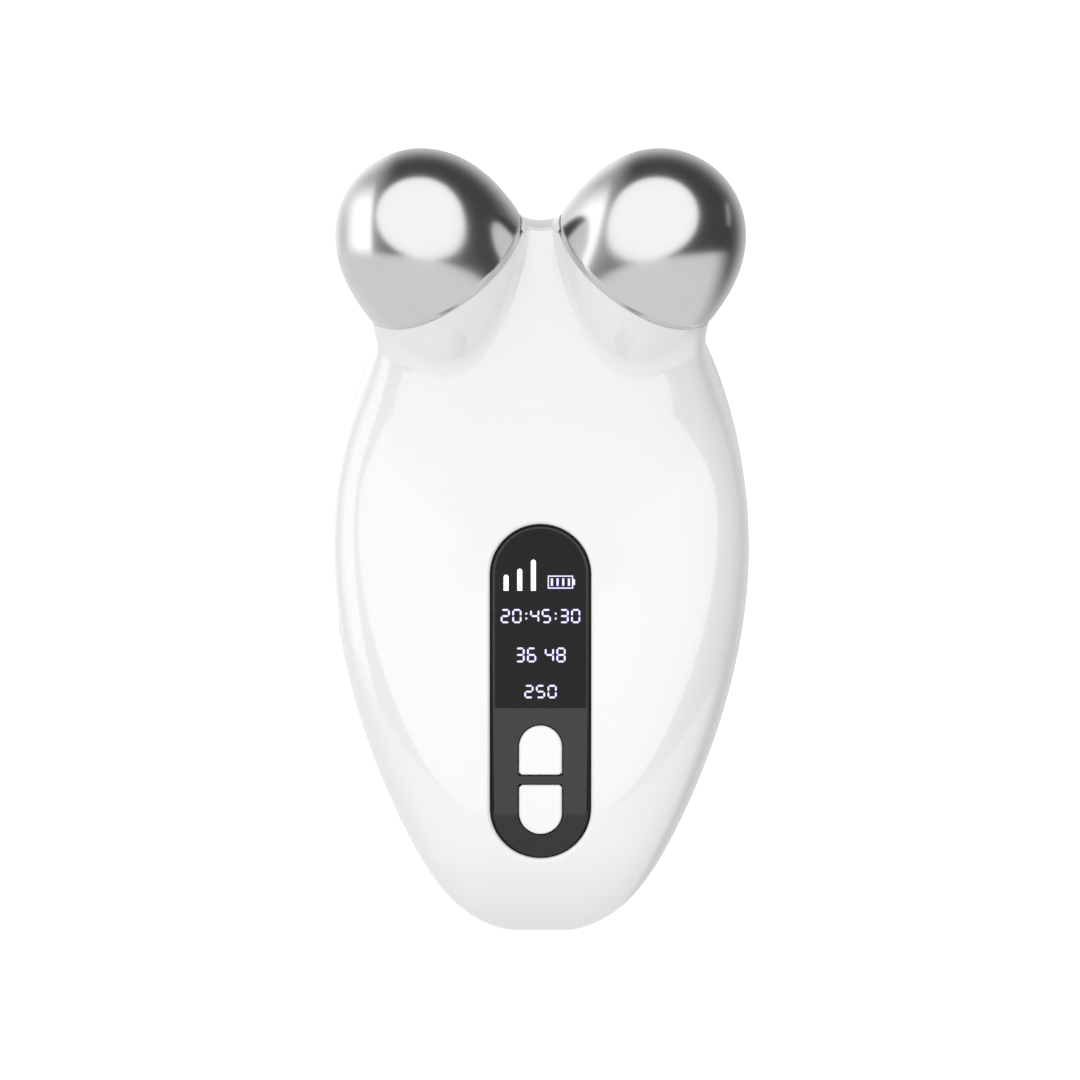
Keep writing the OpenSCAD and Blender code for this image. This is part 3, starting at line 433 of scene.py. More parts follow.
class Edge:
    """One kind of edge that a surface ends at: where it is, which way it faces, how round it is."""

    def __init__(self, value, radius, facing=None, depth=SHELL_T, bore=None):
        self.value, self.radius, self.facing = value, radius, facing
        self.depth, self.bore = depth, bore

    def direction(self, p):
        if self.facing is None:
            return -gradient(self.value, p)
        return np.tile(self.facing, (len(p), 1))


def border_of(triangles):
    """Points on a surface's border, and its stretches: where among them each starts and ends."""
    directed = np.concatenate([triangles[:, [0, 1]], triangles[:, [1, 2]], triangles[:, [2, 0]]])
    known = {tuple(e) for e in directed.tolist()}
    border = np.array(sorted(e for e in known if (e[1], e[0]) not in known))
    ids, index = np.unique(border, return_inverse=True)
    return ids, *index.reshape(-1, 2).T


def thick_shell(surface, edges, thickness, round_steps=4):
    """A closed solid from an open surface: round edges, side walls and an inner surface.

    An edge with a bore gets a flat face in its own plane, from the round edge in to the bore.
    """
    points, normals, triangles = surface
    ids, u, v = border_of(triangles)
    p, n = points[ids], normals[ids]
    off = np.stack([np.abs(e.value(p)) for e in edges])
    kind = np.argmin(off[:, u] + off[:, v], axis=0)
    facing = np.stack([e.direction(p) for e in edges])
    across = np.einsum("kij,ij->ki", facing, n)
    level = facing - across[..., None] * n
    level /= np.maximum(np.linalg.norm(level, axis=2), 1e-9)[..., None]
    angle = np.arccos(np.clip(across, -1, 1))
    on = np.zeros((len(edges), len(ids)), bool)
    on[kind, u] = on[kind, v] = True
    path = [p]
    for step in range(1, round_steps + 1):
        side, down = np.zeros_like(p), np.zeros(len(p))
        for k, edge in enumerate(edges):
            turn = angle[k] * step / round_steps
            side += level[k] * (edge.radius * np.sin(turn) * on[k])[:, None]
            down = np.maximum(down, edge.radius * (1 - np.cos(turn)) * on[k])
        path.append(p + side - down[:, None] * n)
    end = path[-1]
    inner = points - thickness * normals
    inner[ids] = end - thickness * n
    bores = {}
    for k, edge in enumerate(edges):
        if edge.depth > thickness:
            inner[ids[on[k]]] = (end - edge.depth * n)[on[k]]
        if edge.bore is not None:
            centre, radius = edge.bore
            aside = unit(n - across[k][:, None] * facing[k])
            inner[ids[on[k]]] = (end - thickness * (aside + facing[k]))[on[k]]
            height = ((end - centre) @ edge.facing)[:, None]
            spoke = unit(end - centre - height * edge.facing)
            bores[k] = centre + height * edge.facing + radius * spoke, spoke
    verts = [points] + path[1:] + [inner]
    for k in bores:
        verts += [bores[k][0], bores[k][0] - thickness * edges[k].facing]
    start = np.cumsum([0] + [len(x) for x in verts])
    inside = start[round_steps + 1] + ids
    row = [ids] + [start[i] + np.arange(len(ids)) for i in range(1, round_steps + 1)]
    faces = [triangles, triangles[:, ::-1] + start[round_steps + 1]]
    corner_normals = [normals[triangles], -normals[triangles[:, ::-1]]]

    def strip(low, high, which, low_normal, high_normal):
        a, b = u[which], v[which]
        faces.append(np.stack([low[b], low[a], high[a], high[b]], 1))
        corner_normals.append(np.stack([low_normal(b), low_normal(a),
                                        high_normal(a), high_normal(b)], 1))

    def turned(which, share):
        def normal(at):
            phi = angle[kind[which], at] * share
            tilt = level[kind[which], at]
            return np.cos(phi)[:, None] * n[at] + np.sin(phi)[:, None] * tilt

        return normal

    everywhere = np.ones(len(u), bool)
    for step in range(round_steps):
        strip(row[step], row[step + 1], everywhere, turned(everywhere, step / round_steps),
              turned(everywhere, (step + 1) / round_steps))
    plain = ~np.isin(kind, list(bores))
    strip(row[-1], inside, plain, turned(plain, 1), turned(plain, 1))
    for i, k in enumerate(bores):
        which = kind == k
        near, far = (start[round_steps + 2 + 2 * i + j] + np.arange(len(ids)) for j in (0, 1))
        spoke = bores[k][1]
        for low, high, way in ((row[-1], near, facing[k]), (near, far, -spoke),
                               (far, inside, -facing[k])):
            strip(low, high, which, lambda at: way[at], lambda at: way[at])
        for corner in np.flatnonzero(on[k] & (on.sum(0) > 1)):
            other = next(j for j in np.flatnonzero(on[:, corner]) if j != k)
            loop = np.array([[row[-1][corner], near[corner], far[corner], inside[corner]]])
            to_bore = bores[k][0][corner] - end[corner]
            to_inside = inner[ids[corner]] - end[corner]
            turned_out = np.cross(to_bore, to_inside) @ facing[other][corner] > 0
            faces.append(loop if turned_out else loop[:, ::-1])
            corner_normals.append(np.tile(facing[other][corner], (1, 4, 1)))
    return tidy(np.concatenate(verts), faces, corner_normals)


def tidy(verts, faces, corner_normals):
    """The same solid without the points that no face uses."""
    used = np.unique(np.concatenate([f.ravel() for f in faces]))
    place = np.full(len(verts), -1)
    place[used] = np.arange(len(used))
    return verts[used], [place[f] for f in faces], corner_normals


def make_mesh(name, solid, body, slot, replaces=(), look=None, inlay=None):
    """A piece from a millimetre solid: its points, faces and the exact normals at their corners.

    Its finish is that of its slot, or else the look. An inlay is a second finish for upward
    faces, and a value that is positive where they have it.
    """
    verts, faces, corner_normals = solid
    mesh = bpy.data.meshes.new(name)
    sizes = np.concatenate([np.full(len(f), f.shape[1]) for f in faces])
    corners = np.concatenate([f.ravel() for f in faces])
    mesh.vertices.add(len(verts))
    mesh.vertices.foreach_set("co", (verts * MM).astype(np.float32).ravel())
    mesh.loops.add(len(corners))
    mesh.loops.foreach_set("vertex_index", corners.astype(np.int32))
    mesh.polygons.add(len(sizes))
    starts = np.concatenate([[0], np.cumsum(sizes)[:-1]])
    mesh.polygons.foreach_set("loop_start", starts.astype(np.int32))
    mesh.polygons.foreach_set("loop_total", sizes.astype(np.int32))
    mesh.update(calc_edges=True)
    mesh.shade_smooth()
    mesh.normals_split_custom_set(np.concatenate([c.reshape(-1, 3) for c in corner_normals]))
    mesh.validate(clean_customdata=False)
    piece = bpy.data.objects.new(name, mesh)
    bpy.context.scene.collection.objects.link(piece)
    mesh.materials.append(finish[look or slot])
    if inlay:
        mesh.materials.append(finish[inlay[0]])
        middles = np.array([f.center[:] for f in mesh.polygons]) / MM
        upward = np.array([f.normal.z for f in mesh.polygons]) > UPWARD
        inlaid = upward & (inlay[1](middles) > 0)
        mesh.polygons.foreach_set("material_index", inlaid.astype(np.int32))
    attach(piece, body)
    if replaces:
        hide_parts(*replaces)


def plate(outline, low, high, lip=0.0):
    """A flat solid over an outline, its heights given for each Y, with a bevel round its top."""
    outline = np.array(outline, float)
    count = len(outline)
    x, y = outline.T
    if np.sum(x * np.roll(y, -1) - y * np.roll(x, -1)) < 0:
        outline = outline[::-1]
    along = unit(np.roll(outline, -1, 0) - outline)
    before = np.roll(along, 1, 0)
    inward = np.stack([-along[:, 1] - before[:, 1], along[:, 0] + before[:, 0]], 1)
    inward /= np.maximum(1e-6, (1 + (along * before).sum(1)))[:, None]
    rings = [(outline, low), (outline, lambda y: high(y) - lip), (outline + lip * inward, high)]
    verts = np.concatenate([np.column_stack([o, h(o[:, 1])]) for o, h in rings])
    i = np.arange(count)
    j = (i + 1) % count
    faces = [i[None, ::-1], (2 * count + i)[None]]
    for ring in (0, count):
        faces.append(np.stack([ring + i, ring + j, ring + count + j, ring + count + i], 1))
    normals = []
    for f in faces:
        a, b, c = (verts[f[:, k]] for k in range(3))
        normal = unit(np.cross(b - a, c - a) + 1e-12)
        normals.append(np.repeat(normal[:, None], f.shape[1], axis=1))
    return verts, faces, normals


def rod(middle, radius, low, high):
    turns = np.linspace(0, 2 * math.pi, ROD_SIDES, endpoint=False)
    outline = np.stack([middle[0] + radius * np.cos(turns), middle[1] + radius * np.sin(turns)], 1)
    return plate(outline, flat(low), flat(high), ROD_LIP)


def together(*solids):
    """Several solids as one."""
    start = np.cumsum([0] + [len(s[0]) for s in solids])
    return (np.concatenate([s[0] for s in solids]),
            [f + at for s, at in zip(solids, start) for f in s[1]],
            [n for s in solids for n in s[2]])


def lathe(profile, centre, axis):
    """Points and faces of a closed ring or cap: (radius, height) points turned about an axis."""
    u = np.cross(axis, (0, 0, 1.0))
    u /= np.linalg.norm(u)
    v = np.cross(axis, u)
    turn = np.linspace(0, 2 * math.pi, LATHE_SIDES, endpoint=False)
    out = np.cos(turn)[:, None] * u + np.sin(turn)[:, None] * v
    radius, height = profile[:, 0, None, None], profile[:, 1, None, None]
    verts = centre + height * axis + radius * out
    grid = np.arange(len(profile) * LATHE_SIDES).reshape(-1, LATHE_SIDES)
    following = np.roll(grid, -1, axis=0)
    quads = np.stack([grid, np.roll(grid, -1, 1), np.roll(following, -1, 1), following], -1)
    return verts.reshape(-1, 3), quads.reshape(-1, 4)


# ---- Materials ----
GRAIN, GRAIN_DETAIL = 400.0, 4
BUMP_DEPTH = 0.00002


def preset(node, values):
    """Sets inputs of a node by their names."""
    for name, value in values.items():
        node.inputs[name].default_value = value
    return node


def material(name, color, roughness, metallic=0.0, coat=0.0, coat_rough=0.03, ior=1.5,
             coat_ior=1.5, vary=0.02, bump=0.0, bump_scale=900.0, rough_vary=0.03, glow=0.0):
    """A procedural finish: slight variation of colour and gloss, and a fine surface texture."""
    m = bpy.data.materials.new(name)
    m.use_nodes = True
    new, link = m.node_tree.nodes.new, m.node_tree.links.new
    shader = preset(m.node_tree.nodes["Principled BSDF"], {
        "Metallic": metallic, "IOR": ior, "Coat Weight": coat, "Coat Roughness": coat_rough,
        "Coat IOR": coat_ior, "Emission Color": (*color, 1), "Emission Strength": glow})
    place = new("ShaderNodeTexCoord")
    noise = preset(new("ShaderNodeTexNoise"), {"Scale": GRAIN, "Detail": GRAIN_DETAIL})
    link(place.outputs["Object"], noise.inputs["Vector"])
    ramp = new("ShaderNodeValToRGB")
    ramp.color_ramp.elements[0].color = (*[c * (1 - vary) for c in color], 1)
    ramp.color_ramp.elements[1].color = (*[min(1, c * (1 + vary)) for c in color], 1)
    link(noise.outputs["Fac"], ramp.inputs["Fac"])
    link(ramp.outputs["Color"], shader.inputs["Base Color"])
    gloss = preset(new("ShaderNodeMapRange"), {"To Min": max(0, roughness - rough_vary),
                                               "To Max": roughness + rough_vary})
    link(noise.outputs["Fac"], gloss.inputs["Value"])
    link(gloss.outputs["Result"], shader.inputs["Roughness"])
    if bump:
        fine = preset(new("ShaderNodeTexNoise"), {"Scale": bump_scale})
        link(place.outputs["Object"], fine.inputs["Vector"])
        relief = preset(new("ShaderNodeBump"), {"Strength": bump, "Distance": BUMP_DEPTH})
        link(fine.outputs["Fac"], relief.inputs["Height"])
        link(relief.outputs["Normal"], shader.inputs["Normal"])
    return m


# Colour, roughness and whatever else isn't usual.
FINISHES = {
    "shell_white": ((0.83, 0.828, 0.83), 0.22, dict(coat=1.0, coat_ior=1.6, coat_rough=0.02,
                                                   vary=0.006, rough_vary=0.02)),
    "plug_white": ((0.78, 0.78, 0.785), 0.32, dict(vary=0.01, bump=0.1)),
    "cover_black": ((0.006, 0.006, 0.0065), 0.04, dict(vary=0.1, rough_vary=0.01)),
    "window_dark": ((0.006, 0.006, 0.007), 0.12, dict(vary=0.05, ior=1.26)),
    "lit_white": ((0.88, 0.88, 0.92), 0.4, dict(glow=0.75)),
    "lit_lilac": ((0.58, 0.54, 0.84), 0.4, dict(glow=0.75)),
    "button_white": ((0.87, 0.87, 0.87), 0.3, dict(coat=0.4, coat_rough=0.05, vary=0.008)),
    "roller_plate": ((0.60, 0.60, 0.605), 0.2, dict(metallic=1.0, vary=0.02, rough_vary=0.015)),
    "steel": ((0.56, 0.57, 0.58), 0.28, dict(metallic=1.0, vary=0.05, bump=0.2)),
    "bronze": ((0.55, 0.36, 0.17), 0.35, dict(metallic=1.0, vary=0.08, bump=0.2)),
    "seal_rubber": ((0.02, 0.02, 0.02), 0.6, dict(bump=0.3)),
    "chip_black": ((0.02, 0.02, 0.021), 0.5, dict(bump=0.3)),
    "board_green": ((0.02, 0.16, 0.06), 0.35, dict(vary=0.1)),
    "copper_coil": ((0.6, 0.27, 0.12), 0.35, dict(metallic=1.0)),
    "capacitor_can": ((0.45, 0.46, 0.48), 0.3, dict(metallic=1.0)),
    "cell_foil": ((0.5, 0.52, 0.56), 0.35, dict(metallic=0.8, bump=0.4, bump_scale=200)),
    "foam_black": ((0.02, 0.02, 0.02), 0.9, dict(bump=0.8, bump_scale=1500)),
    "tape_grey": ((0.05, 0.05, 0.05), 0.7, {}),
    "display_glass": ((0.01, 0.01, 0.012), 0.06, {}),
    "holder_dark": ((0.03, 0.03, 0.032), 0.55, dict(bump=0.3)),
    "flex_amber": ((0.4, 0.18, 0.04), 0.35, {}),
    "connector_ivory": ((0.7, 0.66, 0.55), 0.45, {}),
    "switch_grey": ((0.06, 0.06, 0.065), 0.5, dict(bump=0.3)),
    "lead_red": ((0.5, 0.02, 0.015), 0.4, {}), "lead_black": ((0.02, 0.02, 0.02), 0.4, {}),
    "lead_orange": ((0.7, 0.2, 0.02), 0.4, {}), "lead_yellow": ((0.7, 0.5, 0.03), 0.4, {}),
    "yoke_natural": ((0.7, 0.7, 0.65), 0.45, dict(bump=0.2)),
    "core_metal": ((0.6, 0.61, 0.62), 0.35, dict(metallic=1.0, bump=0.2)),
}
finish = {name: material(name, color, roughness, **more)
          for name, (color, roughness, more) in FINISHES.items()}
slot_of = {p["node"]: p["material_slot"] for p in frame["record"]["subparts"]}
for node_name, node_object in frame["nodes"].items():
    node_object.data.materials.clear()
    node_object.data.materials.append(finish[slot_of[node_name]])

# ---- Panel ----
cover_low, cover_high = box_mm("panel_cover")
PANEL_MID = (cover_low[1] + cover_high[1]) / 2
PANEL_W = cover_high[0] - cover_low[0]
PANEL_LEN = cover_high[1] - cover_low[1]
ARC_Z = PARTING_Z + FRONT_DEPTH - FRONT_R
COVER_DOWN, COVER_T, COVER_GAP = 0.5, 1.2, 0.12
COVER_R = FRONT_R - COVER_DOWN
TAPE_T, LEDGE_T = 0.2, 1.4
LEDGE_UNDER = FRONT_R - (COVER_DOWN + COVER_T + TAPE_T + LEDGE_T)
BUTTON_PROUD, BUTTON_GAP, BUTTON_CORNER = 0.25, 0.15, 0.25
BUTTON_W, BUTTON_LEN, BUTTON_SPACE, BUTTON_MID = 5.9, 6.8, 1.4, 32.0
UPPER_Y = -BUTTON_MID + (BUTTON_LEN + BUTTON_SPACE) / 2
LOWER_Y = -BUTTON_MID - (BUTTON_LEN + BUTTON_SPACE) / 2
SOCKET_W, SOCKET_H, PLUG_ROOM = 8.94, 3.26, 0.35
POCKET_FROM_Z, PORT_TO_Y, SCREWS_TO_Z = PARTING_Z + 3, -TAIL_LEN + 8, PARTING_Z - 4
FAR = 50.0  # for the places where an outline doesn't count


def stadium(p, middle, width, length, axes=(0, 1)):
    """Signed distance to a stadium outline, positive outside."""
    x, y = p[:, axes[0]] - middle[0], p[:, axes[1]] - middle[1]
    y = np.maximum(np.abs(y) - (length - width) / 2, 0)
    return np.hypot(x, y) - width / 2


def d_shape(p, y_mid, end, grow):
    """Signed distance to a button's outline: round at one end, straight at the other."""
    w, l = BUTTON_W / 2 + grow, BUTTON_LEN / 2 + grow
    x, y = np.abs(p[:, 0]), (p[:, 1] - y_mid) * end
    qx, qy = x - (w - BUTTON_CORNER), -y - (l - BUTTON_CORNER)
    square = np.hypot(np.maximum(qx, 0), np.maximum(qy, 0)) + np.minimum(np.maximum(qx, qy), 0)
    return np.where(y > l - w, np.hypot(x, y - (l - w)) - w, square - BUTTON_CORNER)


def pocket_hole(p):
    around = stadium(p, (0, PANEL_MID), PANEL_W + 2 * COVER_GAP, PANEL_LEN + 2 * COVER_GAP)
    return np.where(p[:, 2] > POCKET_FROM_Z, around, FAR) - POCKET_LIP


def port_hole(p):
    around = stadium(p, (PARTING_Z, 0), SOCKET_H + 2 * PLUG_ROOM, SOCKET_W + 2 * PLUG_ROOM, (2, 0))
    return np.where(p[:, 1] < PORT_TO_Y, around, FAR) - PORT_LIP


def arc_height(radius, y):
    return ARC_Z + np.sqrt(radius * radius - (y - FRONT_CREST) ** 2)


def arc_field(radius):
    return lambda p: np.hypot(p[:, 1] - FRONT_CREST, p[:, 2] - ARC_Z) - radius


def arc_patch(radius, low, high, spacing=0.4):
    """A piece of the long, flat curve of the front."""
    x, y = (np.linspace(low[i], high[i], int((high[i] - low[i]) / spacing) + 2) for i in (0, 1))
    gx, gy = (g.ravel() for g in np.meshgrid(x, y))
    tilt = (gy - FRONT_CREST) / radius
    points = np.stack([gx, gy, arc_height(radius, gy)], 1)
    normals = np.stack([np.zeros(gx.size), tilt, np.sqrt(1 - tilt**2)], 1)
    grid = np.arange(gx.size).reshape(len(y), len(x))
    a, b, c, d = (g.ravel() for g in (grid[:-1, :-1], grid[:-1, 1:], grid[1:, 1:], grid[1:, :-1]))
    triangles = np.concatenate([np.stack([a, b, c], 1), np.stack([a, c, d], 1)])
    return points, normals, outward(points, normals, triangles)


# ---- Housing shells ----
LIP = 0.2
POCKET_LIP = 0.5
PORT_LIP, PORT_DEPTH = 0.3, 5.0
RIM_LIP = 0.15
AXLE_WAY = 4.05
ROLLER_R, RIM_R, SWELL_H = 12.7, 12.3, 1.3
RIM_REACH, RIM_ROUND = 0.06, 0.15
RIM_FOOT = RIM_ROUND - RIM_REACH
ROLLER_GAP = 0.2
SCREWS = [(-17, -22), (17, -22), (-19.5, 4), (19.5, 4)]
PLUG_R, PLUG_GAP, PLUG_LIP, PLUG_T = 2.3, 0.04, 0.15, 1.3


def front_side(p):
    return to_spine(p)[1] - SEAM / 2 - LIP


def rear_side(p):
    return -to_spine(p)[1] - SEAM / 2 - LIP


def under_rim(side):
    return lambda p: -rim_height(p, side) - RIM_GAP - RIM_LIP


def swelling(height):
    """Radius of a roller between its rim and its widest place."""
    share = np.clip((height - RIM_FOOT) / (SWELL_H - RIM_FOOT), 0, 1)
    return RIM_R + (ROLLER_R - RIM_R) * np.sin(share * math.pi / 2)


def beside_roller(side):
    centre, axis = roller_frame(side)
    return lambda p: (norms(np.cross(p - centre, axis)) - swelling(rim_height(p, side))
                      - ROLLER_GAP - RIM_LIP)


def clear_of_roller(side):
    return lambda p: np.maximum(under_rim(side)(p), beside_roller(side)(p))


def around_screw(x, y, radius):
    return lambda p: np.where(p[:, 2] < SCREWS_TO_Z,
                              np.hypot(p[:, 0] - x, p[:, 1] - y) - radius, FAR)


def inverse(value):
    return lambda p: -value(p)


whole = housing_surface()
for hole in (clear_of_roller(LEFT), clear_of_roller(RIGHT), port_hole):
    whole = kept(whole, hole, housing_distance)
front = kept(kept(whole, front_side, housing_distance), pocket_hole, housing_distance)
rear = kept(whole, rear_side, housing_distance)
openings = [Edge(under_rim(side), RIM_LIP, roller_frame(side)[1],
                 bore=(roller_frame(side)[0], AXLE_WAY)) for side in (LEFT, RIGHT)]
openings += [Edge(beside_roller(side), RIM_LIP) for side in (LEFT, RIGHT)]
openings.append(Edge(port_hole, PORT_LIP, depth=PORT_DEPTH))
front_edges = [Edge(front_side, LIP), *openings, Edge(pocket_hole, POCKET_LIP)]
make_mesh("housing_front", thick_shell(front, front_edges, SHELL_T),
          "housing", "shell_white", ["front_shell"])
rear_edges, plugs = [Edge(rear_side, LIP), *openings], []
for x, y in SCREWS:
    hole = around_screw(x, y, PLUG_R + PLUG_LIP)
    rear, disc = split(rear, hole, housing_distance)
    rear_edges.append(Edge(hole, PLUG_LIP))
    plug = inverse(around_screw(x, y, PLUG_R - PLUG_GAP - PLUG_LIP))
    plugs.append(thick_shell(kept(disc, plug, housing_distance), [Edge(plug, PLUG_LIP)], PLUG_T))
make_mesh("housing_rear", thick_shell(rear, rear_edges, SHELL_T),
          "housing", "shell_white", ["rear_shell"])
make_mesh("rear_plugs", together(*plugs), "housing", "plug_white", ["screw_plugs"])

# ---- Panel pieces ----
BEVEL, BEVEL_STEPS = 0.55, 8
HOLE_LIP = 0.08
BUTTON_LIP, BUTTON_STEPS = 0.3, 6
WINDOW_END = -22.1
COVER_MARGIN = 1
CAP_HALF_X, CAP_HALF_Y, CAP_SPACING = 4.0, 4.5, 0.3
FLANGE, FLANGE_T, FLANGE_GAP, FLANGE_LIP = 0.5, 0.8, 0.1, 0.1
STEM_R, PLUNGER_R, PLUNGER_LEN = 1.5, 0.95, 1.25
CAP_OVERLAP, PLUNGER_OVERLAP = 0.1, 0.2
ARC_STEPS = 24


def inside_cover(p):
    return -stadium(p, (0, PANEL_MID), PANEL_W, PANEL_LEN) - BEVEL


def button_hole(y_mid, end):
    return lambda p: d_shape(p, y_mid, end, BUTTON_GAP) - HOLE_LIP


def over_window(p):
    return np.minimum(inside_cover(p), p[:, 1] - WINDOW_END)


def d_outline(y_mid, end, grow):
    """Points round a button, grown outwards."""
    w, l = BUTTON_W / 2 + grow, BUTTON_LEN / 2 + grow
    round_end = [(w * math.cos(a), y_mid + end * (l - w + w * math.sin(a)))
                 for a in np.linspace(0, math.pi, ARC_STEPS)]
    return round_end + [(-w, y_mid - end * l), (w, y_mid - end * l)]


def button(name, y_mid, end):
    """Cap, flange behind the ledge and stem down to the switch, as one piece."""
    def outline(p):
        return -d_shape(p, y_mid, end, 0) - BUTTON_LIP

    radius = COVER_R + BUTTON_PROUD
    patch = arc_patch(radius, (-CAP_HALF_X, y_mid - CAP_HALF_Y), (CAP_HALF_X, y_mid + CAP_HALF_Y),
                      CAP_SPACING)
    patch = kept(patch, outline, arc_field(radius))
    flange_ends = y_mid - (BUTTON_LEN / 2 + FLANGE), y_mid + (BUTTON_LEN / 2 + FLANGE)
    top = min(arc_height(LEDGE_UNDER, y) for y in flange_ends) - FLANGE_GAP
    cap = thick_shell(patch, [Edge(outline, BUTTON_LIP)],
                      arc_height(radius, y_mid) - top + CAP_OVERLAP, BUTTON_STEPS)
    flange = plate(d_outline(y_mid, end, FLANGE), flat(top - FLANGE_T), flat(top), FLANGE_LIP)
    foot = box_mm(name)[0][2]
    stem = rod((0, y_mid), STEM_R, foot + PLUNGER_LEN, top - FLANGE_T / 2)
    plunger = rod((0, y_mid), PLUNGER_R, foot, foot + PLUNGER_LEN + PLUNGER_OVERLAP)
    make_mesh(name + "_cap", together(cap, flange, stem, plunger), name, "button_white", [name])


cover = arc_patch(COVER_R, cover_low - COVER_MARGIN, cover_high + COVER_MARGIN)
holes = [button_hole(UPPER_Y, 1), button_hole(LOWER_Y, -1)]
for outline in (inside_cover, *holes):
    cover = kept(cover, outline, arc_field(COVER_R))
points, normals, within, without = scored(cover, over_window, arc_field(COVER_R))
cover = points, normals, np.concatenate([within, without])
cover_edges = [Edge(inside_cover, BEVEL)] + [Edge(hole, HOLE_LIP) for hole in holes]
make_mesh("cover_glass", thick_shell(cover, cover_edges, COVER_T, BEVEL_STEPS),
          "housing", "cover_black", ["panel_cover"], inlay=("window_dark", over_window))
button("upper_button", UPPER_Y, 1)
button("lower_button", LOWER_Y, -1)

# ---- Lit marks of the display ----
MARK_OVER, MARK_UNDER = 0.03, 0.05
STROKE = 0.25
DIGIT_W, DIGIT_STEP, COLON_STEP, COLON_X, COLON_SHARES = 1.02, 1.6, 0.85, 0.2, (0.3, 0.7)
SEGMENTS = {"0": "abcdef", "1": "bc", "2": "abged", "3": "abgcd", "4": "fgbc", "5": "afgcd",
            "6": "afgedc", "7": "abc", "8": "abcdefg", "9": "abcdfg"}
NUMERALS = ("20:45:30", -10.25, 1.7), ("36 48", -15.65, 1.8), ("250", -20.6, 1.6)
SIGNAL_Y, SIGNAL_W, SIGNALS = -5.9, 0.68, ((-5.08, -3.7), (-3.2, -2.87), (-1.32, -1.62))
CELL_X, CELL_Y, CELL_W, CELL_H, CELL_LINE = 1.0, -5.62, 3.5, 1.8, 0.16
NUB_W, NUB_IN = 0.25, 0.5
CHARGES, CHARGE_X, CHARGE_STEP, CHARGE_W, CHARGE_IN = 4, 0.42, 0.78, 0.3, 0.38
CAP_STEPS = 12


def lit(outline):
    """A mark that lies on the cover and reaches a little into it."""
    return plate(outline, lambda y: arc_height(COVER_R, y) - MARK_UNDER,
                 lambda y: arc_height(COVER_R, y) + MARK_OVER)


def bar(x0, y0, x1, y1, round_top=False):
    """An upright bar whose upper end may be round."""
    if not round_top:
        return lit([(x0, y0), (x1, y0), (x1, y1), (x0, y1)])
    r = (x1 - x0) / 2
    return lit([(x0, y0), (x1, y0)] + [((x0 + x1) / 2 + r * math.cos(a), y1 - r + r * math.sin(a))
                                       for a in np.linspace(0, math.pi, CAP_STEPS)])


def segment(x0, y0, x1, y1):
    """One straight stroke of a digit, pointed at both ends."""
    way = np.array([x1 - x0, y1 - y0], float)
    way /= np.linalg.norm(way)
    across = np.array([-way[1], way[0]]) * STROKE / 2
    a, b = np.array([x0, y0]) + way * STROKE / 4, np.array([x1, y1]) - way * STROKE / 4
    tip = way * STROKE / 2
    return lit([a, a + tip - across, b - tip - across, b, b - tip + across, a + tip + across])


def digits(text, y_low, height):
    """A line of numerals, centred."""
    steps = [COLON_STEP if c in ": " else DIGIT_STEP for c in text]
    x = -(sum(steps) - (DIGIT_STEP - DIGIT_W)) / 2
    solids = []
    w, h = DIGIT_W, height
    strokes = {"a": (0, h, w, h), "b": (w, h, w, h / 2), "c": (w, h / 2, w, 0), "d": (0, 0, w, 0),
               "e": (0, 0, 0, h / 2), "f": (0, h / 2, 0, h), "g": (0, h / 2, w, h / 2)}
    for c, step in zip(text, steps):
        if c == ":":
            for y in (y_low + share * h for share in COLON_SHARES):
                solids.append(bar(x + COLON_X - STROKE / 2, y - STROKE / 2,
                                  x + COLON_X + STROKE / 2, y + STROKE / 2))
        for s in SEGMENTS.get(c, ""):
            x0, y0, x1, y1 = strokes[s]
            solids.append(segment(x + x0, y_low + y0, x + x1, y_low + y1))
        x += step
    return solids


def battery():
    """The outline of a battery, its nub and its charge."""
    x0, x1, y0, y1 = CELL_X, CELL_X + CELL_W, CELL_Y, CELL_Y + CELL_H
    solids = [bar(x0, y0, x1, y0 + CELL_LINE), bar(x0, y1 - CELL_LINE, x1, y1),
              bar(x0, y0 + CELL_LINE, x0 + CELL_LINE, y1 - CELL_LINE),
              bar(x1 - CELL_LINE, y0 + CELL_LINE, x1, y1 - CELL_LINE),
              bar(x1, y0 + NUB_IN, x1 + NUB_W, y1 - NUB_IN)]
    for x in x0 + CHARGE_X + CHARGE_STEP * np.arange(CHARGES):
        solids.append(bar(x, y0 + CHARGE_IN, x + CHARGE_W, y1 - CHARGE_IN))
    return solids


strength = [bar(x, SIGNAL_Y, x + SIGNAL_W, top, round_top=True) for x, top in SIGNALS]
make_mesh("display_strength", together(*strength), "housing", "display_glass", look="lit_white")
numerals = [solid for line in NUMERALS for solid in digits(*line)]
make_mesh("display_numerals", together(*battery(), *numerals),
          "housing", "display_glass", look="lit_lilac")

# ---- Rollers ----
ROLLER_H, DOME_WALL, TIP_R = 18.2, 1.0, 0.02
DOME_ROUND, DOME_BLUNT, DOME_STEPS = 2.46, 2.06, 72
RIM_STEPS, SWELL_STEPS = 6, 8


def dome(radius, height):
    """(radius, height) points from a roller's widest place nearly to its tip."""
    t = np.linspace(0, math.pi / 2, DOME_STEPS)[:-1]
    return np.stack([radius * np.cos(t) ** (2 / DOME_BLUNT),
                     SWELL_H + (height - SWELL_H) * np.sin(t) ** (2 / DOME_ROUND)], 1)


